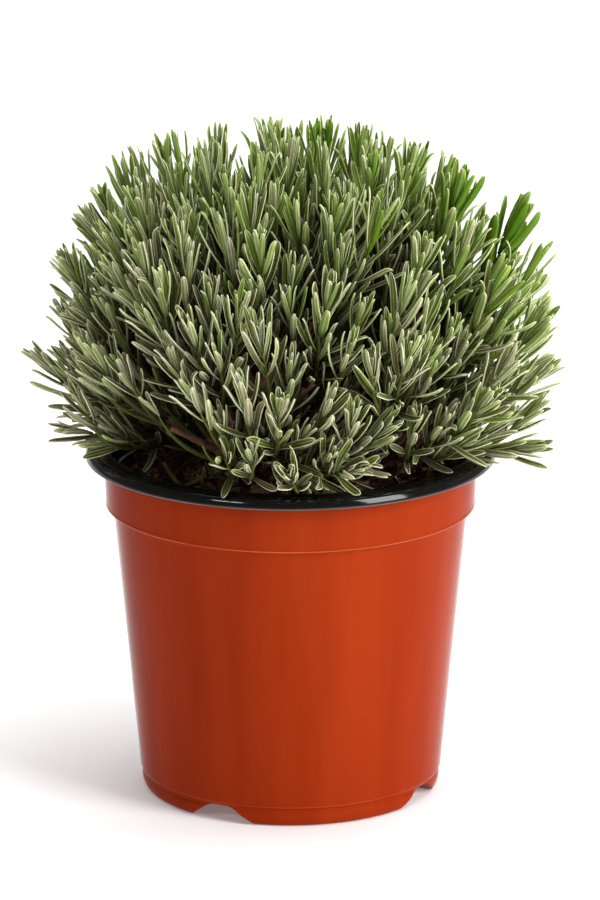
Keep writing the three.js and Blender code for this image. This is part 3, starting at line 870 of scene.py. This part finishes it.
def litter(random):
    """Dried leaves that lie curled on the compost, as blades() takes them."""
    leaves = []
    for _ in range(LITTER_COUNT):
        x, y = random_place(random, LITTER_REACH)
        turn = random.random() * 2 * math.pi
        axis = np.array([math.cos(turn), math.sin(turn), 0])
        leaf = {"root": np.array([x, y, crumbly(x, y) + LITTER_RISE]), "axis": axis}
        leaf["out"] = unit(np.cross(axis, [0, 0, 1]) * random.normal() + np.array([0, 0, LITTER_FLAT]))
        leaf |= measures(random, LITTER_FORM)
        leaf["twist"], leaf["sway"] = random.normal(), LITTER_SWAY * random.normal()
        leaves.append(leaf | measures(random, LITTER_LOOK))
    return leaves


def scattered(random, count, reach, least, more, power):
    """Places on the compost and sizes for lumps."""
    places = [random_place(random, reach) for _ in range(count)]
    return places, least + more * random.random(count) ** power


def lumps(places, sizes, random, flat=1.0, long=1.0):
    """Irregular crumbs or chips at places on the compost."""
    count = len(places)
    turns = random.random((count, 1, 1)) * 2 * math.pi
    lean = np.linspace(0, math.pi, CRUMB_RINGS + 2)[1:-1]
    least, more = CRUMB_CORNERS
    corners = least + more * random.random((count, CRUMB_RINGS, CRUMB_SIDES, 1))
    scale = np.stack([sizes * long, sizes, sizes * flat], axis=-1)[:, None, None]
    rings = spun(np.column_stack([np.sin(lean), -np.cos(lean)]), CRUMB_SIDES) * corners * scale
    x, y, z = np.moveaxis(rings, -1, 0)
    z = z + x * (random.random((count, 1, 1)) - 0.5) * CRUMB_TILT
    c, s = np.cos(turns), np.sin(turns)
    rings = np.stack([x * c - y * s, x * s + y * c, z], axis=-1)
    centres = np.array([(x, y, crumbly(x, y)) for x, y in places])
    centres[:, 2] += sizes * flat * CRUMB_RISE
    poles = np.stack([0 * sizes, 0 * sizes, sizes * flat], axis=-1)
    return skins(rings + centres[:, None, None], centres - poles, centres + poles)


# Growth, by the same rule as in the solids


def seeded(seed):
    """Park and Miller's generator."""
    state = seed

    def draw():
        nonlocal state
        state = state * 16807 % 2147483647
        return state / 2147483647

    return draw


def tip_surface():
    """Radius, height and area so far, from the top of the surface of the tips down."""
    rows = []
    for i in range(DOME_STEPS + 1):
        angle = i / DOME_STEPS * math.pi / 2
        rise = max(0.0, math.cos(angle)) ** DOME_POWER
        rows.append((DOME_RADIUS * math.sin(angle) ** DOME_POWER, DOME_CENTRE + DOME_HEIGHT * rise))
    rows.append((SKIRT_RADIUS, SKIRT_BOTTOM))
    area, result = 0, []
    for i, (radius, height) in enumerate(rows):
        r0, z0 = rows[max(0, i - 1)]
        rise = (height - DOME_CENTRE) / DOME_HEIGHT
        density = SKIRT_DENSITY if rise < 0 else mix(1, TOP_DENSITY, rise)
        area += density * (radius + r0) * math.hypot(radius - r0, height - z0)
        result.append((radius, height, area))
    return result


def in_opening(angle, height):
    """Whether a place is in the low front left, where the bush is open."""
    turned_to = (angle + 180) % 360 - 180
    return OPENING["from"] < turned_to < OPENING["to"] and height < OPENING["below"]


def angle_at(x, y):
    return math.degrees(math.atan2(x, -y))


def highness(height):
    """0 low in the bush and 1 at its top."""
    return float(portion(height, *HIGH_HEIGHTS))


def jitter(random, reach):
    """A random shift of at most a reach along each axis."""
    return np.array([(random() * 2 - 1) * reach for _ in range(3)])


def growing_tip(place, count, rows, random):
    """A shoot with its growing tip, the way that it points, its size, and no leaves yet."""
    area = (place + 0.5) / count * rows[-1][2]
    after = next(k for k, row in enumerate(rows) if row[2] >= area)
    (r0, z0, a0), (r1, z1, a1) = rows[after - 1], rows[after]
    share = (area - a0) / (a1 - a0)
    radius, height = mix(r0, r1, share), mix(z0, z1, share)
    angle = place * TURN
    if in_opening(angle, height):
        angle = OPENING["to"]
    tip = around(angle, radius, height) + jitter(random, JITTER) + np.array([DOME_SHIFT, 0, 0])
    steep = (z0 - z1) / math.hypot(r1 - r0, z1 - z0)
    low = max(0, (DOME_CENTRE - height) / (DOME_CENTRE - SKIRT_BOTTOM))
    direction = unit(around(angle, LEAN * steep + SKIRT_LEAN * low, 1))
    distance = norm(tip - around(VIGOUR["angle"], DOME_RADIUS, VIGOUR["height"]))
    vigour = math.exp(-((distance / VIGOUR["reach"]) ** 2))
    size = (1 + VIGOUR["gain"] * vigour) * (1 + SIZE_SPREAD * (random() * 2 - 1))
    tip = tip + direction * VIGOUR["push"] * vigour
    shoot = {"tip": tip, "direction": direction, "size": size, "spin": random() * 360, "vigour": vigour}
    return {**shoot, "stretch": 1, "leaves": []}


def nearest_crown(tip):
    distances = [math.dist(around(*crown, 0)[:2], tip[:2] * ROOT_SHARE) for crown in CROWNS]
    return distances.index(min(distances))


def bezier(corners, t):
    a, b, c, d = corners
    t = np.asarray(t, float)[:, None]
    return (1 - t) ** 3 * a + 3 * (1 - t) ** 2 * t * b + 3 * (1 - t) * t * t * c + t**3 * d


def lengths_along(points):
    """The length of a line of points up to each of them."""
    steps = norm(np.diff(points, axis=0), axis=1)
    return np.concatenate([[0], np.cumsum(steps)])


def curve_points(corners, shares):
    """Points at shares of a curve's length, and that length."""
    t = np.linspace(0, 1, CURVE_STEPS + 1)
    lengths = lengths_along(bezier(corners, t))
    wanted = np.clip(shares, 0, 1) * lengths[-1]
    return bezier(corners, np.interp(wanted, lengths, t)), lengths[-1]


def path_on(corners, size):
    """A shoot's path from its tip down: its curve, its few points in the solids, and its green share."""
    length = curve_points(corners, [1])[1]
    leafy = min(LEAFY_LENGTH * size / length, MOST_LEAFY)
    green, bare = np.linspace(0, leafy, len(STEM_RADII)), np.linspace(leafy, 1, len(BRANCH_RADII))
    points = curve_points(corners, [*green, *bare[1:]])[0]
    return {"corners": corners, "points": points, "lengths": lengths_along(points), "leafy": leafy}


def main_path(shoot):
    """The path of a shoot from its tip down to its crown."""
    start = around(*CROWNS[shoot["crown"]], FORK)
    tip, direction = shoot["tip"], shoot["direction"]
    reach = norm(tip - start)
    lower = mix(start, tip, ROOT_STRAIGHT) + np.array([0, 0, reach * ARCH])
    upper = tip - direction * reach * TIP_STRAIGHT
    upper[2] = max(upper[2], LIP_TOP + BEND_OVER_LIP)
    return path_on([tip, upper, lower, start], shoot["size"])


def along(path, distance):
    """The point at a distance from the tip, the stem's direction there, and two directions across it."""
    lengths, points = path["lengths"], path["points"]
    after = min(max(1, int(np.searchsorted(lengths, distance))), len(lengths) - 1)
    a, b = points[after - 1], points[after]
    point = mix(a, b, (distance - lengths[after - 1]) / (lengths[after] - lengths[after - 1]))
    axis = unit(a - b)
    tip = points[0]
    side = np.array([-tip[1], tip[0], 0.0])
    side = unit(side - axis * side.dot(axis))
    return point, axis, side, np.cross(axis, side)


def make_leaf(shoot, pair, turn, retry):
    """A leaf of a pair, turned about the stem."""
    down, length, width, root, end = pair
    point, axis, side, back = along(shoot["path"], down * shoot["size"])
    angle = math.radians(turn + retry[0])
    return {
        "root": point,
        "axis": axis,
        "out": side * math.cos(angle) + back * math.sin(angle),
        "length": length * shoot["size"] * retry[1] * shoot["stretch"],
        "width": width * min(shoot["size"], WIDEST) / shoot["stretch"],
        "start": math.radians(root),
        "bend": math.radians(end - root),
    }


def leaf_points(leaf, shares):
    """Points on a leaf's middle line, which bends evenly from its root to its end."""
    start, bend = leaf["start"], leaf["bend"]
    angle = start + bend * shares
    forward = (np.sin(angle) - math.sin(start)) / bend
    outward = (math.cos(start) - np.cos(angle)) / bend
    return leaf["root"] + leaf["length"] * (forward[:, None] * leaf["axis"] + outward[:, None] * leaf["out"])


class Room:
    """The balls along leaves and stems that take up room, kept in cubes of space."""

    CELL = 5.5

    def __init__(self):
        self.cells = {}

    def cell(self, point):
        return tuple(math.floor(value / self.CELL) for value in point)

    def take(self, points, radius, owner):
        for point in points:
            self.cells.setdefault(self.cell(point), []).append((*point, radius, owner))

    def is_clear(self, points, radius, owner, clearance):
        margin = radius + clearance
        opening = inset(LINING_INSIDE)[-1][0]
        for x, y, z in points:
            ground = LIP_TOP if math.hypot(x, y) + margin > opening else compost_height(x, y)
            if z - margin < ground:
                return False
            if in_opening(angle_at(x, y), z) and math.hypot(x, y) > OPENING["outside"]:
                return False
            for cell in product(*[(c - 1, c, c + 1) for c in self.cell((x, y, z))]):
                for a, b, c, taken, who in self.cells.get(cell, ()):
                    if who != owner and math.dist((a, b, c), (x, y, z)) <= taken + margin:
                        return False
        return True


LEAF_SHARES = (np.arange(LEAF_SAMPLES) + 1) / LEAF_SAMPLES


def take_stem(room, shoot):
    lengths = shoot["path"]["lengths"]
    green = lengths[len(STEM_RADII) - 1]
    for step in range(int((lengths[-1] - CROWN_ROOM) // STEM_SAMPLE)):
        down = step * STEM_SAMPLE
        owner = shoot["owner"] if down < green - STEM_SAMPLE / 2 else "crown"
        room.take([along(shoot["path"], down)[0]], STEM_RADII[-1], owner)


def place_leaves(room, shoots, pairs, retries=RETRIES, first=0, share=1.0, clearance=CLEARANCE):
    """Crossed pairs of leaves, from the tips down, turned or shortened to keep clear of others."""
    for number, pair in enumerate(pairs):
        for shoot in shoots:
            owner = shoot["owner"]
            for half in (0, 180):
                turn = shoot["spin"] + first + number * 90 + half
                for retry in retries:
                    leaf = make_leaf(shoot, pair, turn, retry)
                    balls = leaf_points(leaf, LEAF_SHARES)
                    radius = leaf["width"] / 2 * share
                    if room.is_clear(balls, radius, owner, clearance):
                        leaf["age"] = pair[0] / PAIRS[-1][0]
                        shoot["leaves"].append(leaf)
                        room.take(balls, radius, owner)
                        break


def grow_main(room):
    """The shoots of the solids, with the same leaves."""
    random = seeded(SEED)
    rows = tip_surface()
    shoots = [growing_tip(i, SHOOTS, rows, random) for i in range(SHOOTS)]
    for number, shoot in enumerate(shoots):
        shoot["owner"] = number
        shoot["crown"] = nearest_crown(shoot["tip"])
        shoot["path"] = main_path(shoot)
        take_stem(room, shoot)
    place_leaves(room, shoots, PAIRS)
    return shoots


def side_path(shoot, mains):
    """The path of an added shoot, from its tip down to the nearest branch of the solids."""
    tip = shoot["tip"]
    parent = min(mains, key=lambda main: norm(main["tip"] - tip))
    distance = norm(parent["tip"] - tip)
    down = min(parent["path"]["lengths"][-1] * SIDE_LOWEST, SIDE_DOWN + SIDE_DOWN_SHARE * distance)
    start, axis = along(parent["path"], down)[:2]
    reach = norm(tip - start)
    shoot["crown"] = parent["crown"]
    upper = tip - shoot["direction"] * reach * SIDE_TIP_STRAIGHT
    return path_on([tip, upper, start + axis * reach * SIDE_ROOT_STRAIGHT, start], shoot["size"])


def grow_added(room, mains, count, depth, pairs, spacing, offset, seed):
    """More shoots by the same rule, set back a little under the surface of the tips."""
    random = seeded(seed)
    rows = tip_surface()
    centre = np.array([DOME_SHIFT, 0, DOME_CENTRE])
    shoots = []
    for i in range(count):
        shoot = growing_tip(i + offset, count + 1, rows, random)
        tip, vigour = shoot["tip"], shoot["vigour"]
        high = highness(tip[2])
        tip = tip - unit(tip - centre) * (mix(*depth, random()) - HIGH_RISE * high)
        tip[0] += RIGHT_REACH * portion(tip[0] / DOME_RADIUS, RIGHT_FROM, 1)
        shoot["tip"] = tip
        shoot["direction"] = unit(shoot["direction"] + jitter(random, SWAY))
        shoot["size"] *= mix(*ADDED_SIZE, random()) / (1 + VIGOUR["gain"] * vigour)
        shoot["stretch"] = 1 + HIGH_STRETCH * high + mix(*ADDED_STRETCH, random())
        shoot["vigour"] = VIGOUR_SHARE * vigour
        near = min(norm(other["tip"] - tip) for other in mains + shoots)
        if near < spacing * (1 + HIGH_SPACING * high + VIGOUR_SPACING * vigour):
            continue
        if in_opening(angle_at(*tip[:2]), tip[2]):
            continue
        shoot["owner"] = (seed, i)
        shoot["path"] = side_path(shoot, mains)
        shoots.append(shoot)
    place_leaves(room, shoots, pairs, ADDED_RETRIES, 0, CROWDED, 0)
    return shoots


# Leaves and stems as meshes


def leaf_width(share):
    """Half-width of a leaf along its length, as a share of its greatest: narrow root, blunt round tip."""
    rise = portion(share, 0, FULL_AT)
    body = mix(ROOT_WIDTH, 1, rise * rise * (3 - 2 * rise))
    end = portion(share, TIP_FROM, 1)
    return body * (1 - FALL * portion(share, FALL_FROM, 1) ** FALL_POWER) * np.sqrt(1 - end * end)


def blades(leaves, section, stations):
    """Closed blades with a section. The columns of their points are x, y, z, tone, felt and along."""

    def read(key):
        return np.array([leaf[key] for leaf in leaves], float)[:, None]

    axis, out, length, width, tone = [read(key) for key in ("axis", "out", "length", "width", "tone")]
    across = np.cross(axis, out)
    grid = np.arange(LEAF_STEPS + 1) / LEAF_STEPS
    angle = read("start") + read("bend") * grid + read("curl") * portion(grid, CURL_FROM, 1) ** 2
    step = length / LEAF_STEPS
    ahead, aside = [
        np.concatenate([0 * step, np.cumsum((f(angle[:, 1:]) + f(angle[:, :-1])) / 2 * step, axis=1)], axis=1)
        for f in (np.cos, np.sin)
    ]
    sway = read("sway") * length * grid**2
    centre = read("root") + ahead[..., None] * axis + aside[..., None] * out + sway[..., None] * across
    upper = np.sin(angle)[..., None] * axis - np.cos(angle)[..., None] * out
    twist = (read("twist") * grid)[..., None]
    c, s = np.cos(twist), np.sin(twist)
    wide, high = across * c + upper * s, upper * c - across * s
    half = (width / 2 * leaf_width(grid))[:, stations, None]
    thick = LEAF_THICKNESS / 2 * mix(END_THICKNESS, 1, leaf_width(grid)) * np.minimum(1, width / THIN_BELOW)
    u, v, felt = np.array(section).T
    rise = v * thick[:, stations, None] + TROUGH * (u * u) * half
    rings = (
        centre[:, stations, None]
        + wide[:, stations, None] * (u * half)[..., None]
        + high[:, stations, None] * rise[..., None]
    )
    place = grid[stations][:, None]
    felt = np.clip(felt * read("felt")[..., None] + TIP_FELT * portion(place, TIP_FROM, 1), 0, 1)
    columns = np.stack(np.broadcast_arrays(tone[..., None], felt, place), axis=-1)
    ends = [
        np.concatenate([centre[:, k], tone, 0 * length + f, 0 * length + k / LEAF_STEPS], axis=-1)
        for k, f in zip((0, LEAF_STEPS), END_FELT)
    ]
    return skins(np.concatenate([rings, columns], axis=-1), *ends)


def tube(points, radii, sides, tones=(0, 0), felt=0, wobble=0):
    """A round stem through points, from its foot to its tip, with the same columns as blades have."""
    points, radii = np.array(points), np.array(radii, float)
    axes = np.gradient(points, axis=0)
    axes /= norm(axes, axis=1)[:, None]
    tip = points[-1]
    reference = np.array([-tip[1], tip[0], 0.0]) if math.hypot(tip[0], tip[1]) > 1 else np.array([1.0, 0, 0])
    side = reference - axes * (axes @ reference)[:, None]
    side /= norm(side, axis=1)[:, None]
    back = np.cross(axes, side)
    corner = np.arange(sides) / sides * 2 * math.pi
    radius = radii[:, None] * np.ones(sides)
    if wobble:
        level, up, step = WOBBLE_NOISE
        for i, (x, y, z) in enumerate(points):
            for k in range(sides):
                spot = Vector((x * level, y * level, z * up + k * step))
                radius[i, k] *= 1 + wobble * noise.noise(spot)
    ring = side[:, None] * np.cos(corner)[:, None] + back[:, None] * np.sin(corner)[:, None]
    rings = points[:, None] + ring * radius[..., None]
    tone = np.linspace(*tones, len(points))[:, None]
    columns = np.stack(np.broadcast_arrays(tone, felt, STEM_ALONG + 0 * radius), axis=-1)
    ends = [np.array([[*points[k], tones[k], felt, STEM_ALONG]]) for k in (0, -1)]
    return skins(np.concatenate([rings, columns], axis=-1)[None], *ends)


def leaf_tone(leaf, shoot, random):
    """How fresh a leaf is, with painted light. Young, high and vigorous leaves are greener, and so are those
    right and back, as painted light where the lamps fall.
    """
    x, y, z = leaf["root"]
    tone = TONE["least"] + TONE["high"] * portion(z, *TONE_HEIGHTS) ** TONE_POWER
    tone += TONE["young"] * (1 - portion(leaf["age"], 0, 1))
    # Painted light: leaves right and back, where the lamps fall, are greener and so show less felt
    tone += TONE["right"] * (x + y) / DOME_RADIUS + TONE["vigour"] * shoot["vigour"]
    if random.random() < DULL_SHARE:
        tone *= DULLER
    return float(np.clip(tone + random.normal(0, TONE["spread"]), *TONE_RANGE))


def dressed(shoot, random):
    """The leaves of a shoot, each with its tone, its felt and its own small turns."""
    vigour = shoot["vigour"]
    for leaf in shoot["leaves"]:
        leaf["tone"] = leaf_tone(leaf, shoot, random)
        # Painted light: low leaves, in the bush's shade, get paler felt
        low = 1 - portion(leaf["root"][2], *FELT_HEIGHTS)
        felt = FELT["most"] - FELT["tone"] * leaf["tone"] - FELT["vigour"] * vigour + FELT["low"] * low
        leaf["felt"] = float(np.clip(felt + random.normal(0, FELT["spread"]), *FELT_RANGE))
        leaf["twist"] = random.normal(0, TWIST_SPREAD)
        leaf["sway"] = random.normal(0, SWAY_SPREAD)
        leaf["curl"] = random.normal(*CURL) + (random.random() < HOOKED_SHARE) * HOOK
        leaf["length"] *= 1 + LENGTH_SPREAD * random.normal() + LENGTH_VIGOUR * vigour
        leaf["width"] *= SLENDER * (1 + WIDTH_VIGOUR * vigour)
    return shoot["leaves"]


def with_painted_shade(points, faces):
    """The points with one more column, for painted shade: 0 near the surface of the tips, and 1 deep in the
    bush.
    """
    x, y, z = points[:, 0] - DOME_SHIFT, points[:, 1], points[:, 2]
    power = 2 / DOME_POWER
    out = np.hypot(x, y) / DOME_RADIUS
    up = np.clip((z - DOME_CENTRE) / DOME_HEIGHT, 0, None)
    depth = DOME_RADIUS * (1 - (out**power + up**power) ** (1 / power))
    # Painted shade grows with depth, and is less low in the bush
    inside = portion(depth, *PAINTED_SHADE_DEPTHS) * (1 - LOW_LIT * portion(z, *LOW_HEIGHTS))
    return np.column_stack([points, inside]), faces


def radii_at(shares, radii):
    """Radii at shares of a stem, from a few that are evenly spaced."""
    return np.interp(shares, np.linspace(0, 1, len(radii)), radii)


def green_stem(path):
    shares = np.linspace(*STEM_ENDS, STEM_RINGS)
    points = curve_points(path["corners"], shares * path["leafy"])[0]
    return tube(points, SLIMMER * radii_at(shares, STEM_RADII), STEM_SIDES, STEM_TONES, STEM_FELT)


def branch(path, radii, rings, sides):
    shares = np.linspace(1, 0, rings)
    points = curve_points(path["corners"], mix(path["leafy"], 1, shares))[0]
    return tube(points, radii_at(shares, radii), sides, wobble=WOBBLE)


def trunk(crown):
    angle, radius = CROWNS[crown]
    x, y, _ = around(angle, radius, 0)
    ground = float(compost_height(x, y))
    heights = sorted([*[ground + rise for rise in TRUNK_RISES], FORK, TRUNK_TOP])
    return tube([(x, y, z) for z in heights], TRUNK_RADII, TRUNK_SIDES, wobble=WOBBLE)


def foliage(name, shoots, random, section=SECTION, stations=LEAF_STATIONS):
    """The green stems and leaves of shoots as one object."""
    leaves = [leaf for shoot in shoots for leaf in dressed(shoot, random)]
    parts = [*[green_stem(shoot["path"]) for shoot in shoots], blades(leaves, section, stations)]
    return make_object(name, *with_painted_shade(*joined(parts)), LEAF, LEAF_COLUMNS)


TERRACOTTA = surface(terracotta_plastic, Specular_IOR_Level=0.025, IOR=1.5)
BLACK = surface(black_plastic, Specular_IOR_Level=0.3)
SOIL = surface(compost_soil, Specular_IOR_Level=0.25)
BARK = surface(bark, Specular_IOR_Level=0.3)
LEAF = surface(felted_leaf, Specular_IOR_Level=0.06)

finish_piece(pot_shell(TERRACOTTA), "terracotta_plastic", "pot_shell")
finish_piece(pot_lining(BLACK), "black_plastic", "pot_lining")

random = np.random.default_rng(LOOKS_SEED)
crumb_spots = scattered(random, *CRUMBS)
chip_spots = scattered(random, *CHIPS)
crumbs = lumps(*crumb_spots, random)
chips = lumps(*chip_spots, random, CHIP_FLAT, CHIP_LONG)
finish_piece(make_object("soil", *joined([compost_body(), crumbs]), SOIL), "compost", "compost")
finish_piece(make_object("bark_chips", *chips, BARK), "bark")
litter_points, litter_faces = blades(litter(random), SECTION, LEAF_STATIONS)
# The dead leaves get a little painted shade
litter_points = np.column_stack([litter_points, np.full(len(litter_points), LITTER_PAINTED_SHADE)])
finish_piece(make_object("litter", litter_points, litter_faces, LEAF, LEAF_COLUMNS), "foliage")

room = Room()
mains = grow_main(room)
for shoot in mains:
    shoot["stretch"] = 1 + MAIN_STRETCH * highness(shoot["tip"][2])
place_leaves(room, mains, YOUNG_PAIRS, ADDED_RETRIES, BETWEEN, CROWDED, 0)
sides = grow_added(room, mains, *SIDE_LAYER)
inners = grow_added(room, mains, *INNER_LAYER)

for number, shoot in enumerate(mains, start=1):
    finish_piece(foliage(f"shoot_{number:02d}", [shoot], random), "foliage", f"leafy_shoot_{number:02d}")

for crown in range(len(CROWNS)):
    own = [branch(shoot["path"], BRANCH_RADII, *BRANCH_MESH) for shoot in mains if shoot["crown"] == crown]
    woody = joined([trunk(crown), *own])
    finish_piece(make_object(f"crown_{crown + 1}", *woody, BARK), "bark", f"woody_crown_{crown + 1}")
    added = [shoot for shoot in sides if shoot["crown"] == crown]
    finish_piece(foliage(f"side_shoots_{crown + 1}", added, random), "foliage")

finish_piece(foliage("inner_shoots", inners, random, PLAIN_SECTION, PLAIN_STATIONS), "foliage")
side_paths = [shoot["path"] for shoot in sides + inners]
side_wood = joined([branch(path, SIDE_BRANCH_RADII, *SIDE_BRANCH_MESH) for path in side_paths])
finish_piece(make_object("side_branches", *side_wood, BARK), "bark")


# Floor, light and camera


def aim(thing, place, target):
    """Puts a camera or lamp at a place and turns it to a target, both in metres."""
    thing.location = place
    thing.rotation_mode = "QUATERNION"
    thing.rotation_quaternion = (Vector(target) - Vector(place)).to_track_quat("-Z", "Y")


def softbox(name, place, width, height, power):
    lamp = bpy.data.lights.new(name, "AREA")
    lamp.shape = "RECTANGLE"
    lamp.size, lamp.size_y, lamp.energy = width, height, power
    aim(placed(name, lamp), place, LAMP_TARGET)


def make_floor():
    corners = np.array([(-1, -1, 0), (1, -1, 0), (1, 1, 0), (-1, 1, 0)]) * float(FLOOR_HALF)
    look = surface(
        pale_floor, Roughness=0.6, Specular_IOR_Level=0.2, Emission_Strength=0.15, Emission_Color=WHITE
    )
    floor = make_object("floor", corners, np.array([(0, 1, 2), (0, 2, 3)]), look)
    floor.location.z = -FLOOR_DROP


def make_world():
    """White surroundings, brightest at the horizon."""
    world = bpy.data.worlds.new("surroundings")
    bpy.context.scene.world = world
    world.use_nodes = True
    tree = world.node_tree
    place = add_node(tree, "TexCoord").outputs["Generated"]
    up = add_node(tree, "SeparateXYZ", {0: place}).outputs["Z"]
    tree.links.new(spread(tree, up, *SURROUNDINGS), tree.nodes["Background"].inputs["Color"])


def make_camera():
    camera = bpy.data.cameras.new("camera")
    camera.lens = CAMERA_LENS
    camera.clip_start, camera.clip_end = CAMERA_CLIP
    made = placed("camera", camera)
    bpy.context.scene.camera = made
    tilt = math.radians(CAMERA_ELEVATION)
    target = Vector(CAMERA_TARGET) * MM
    back = Vector((0, -math.cos(tilt), math.sin(tilt))) * CAMERA_DISTANCE * MM
    aim(made, target + back, target)


make_floor()
make_world()
make_camera()
for name, lamp in LAMPS.items():
    softbox(name, *lamp)
bpy.context.scene.view_settings.view_transform = "Standard"
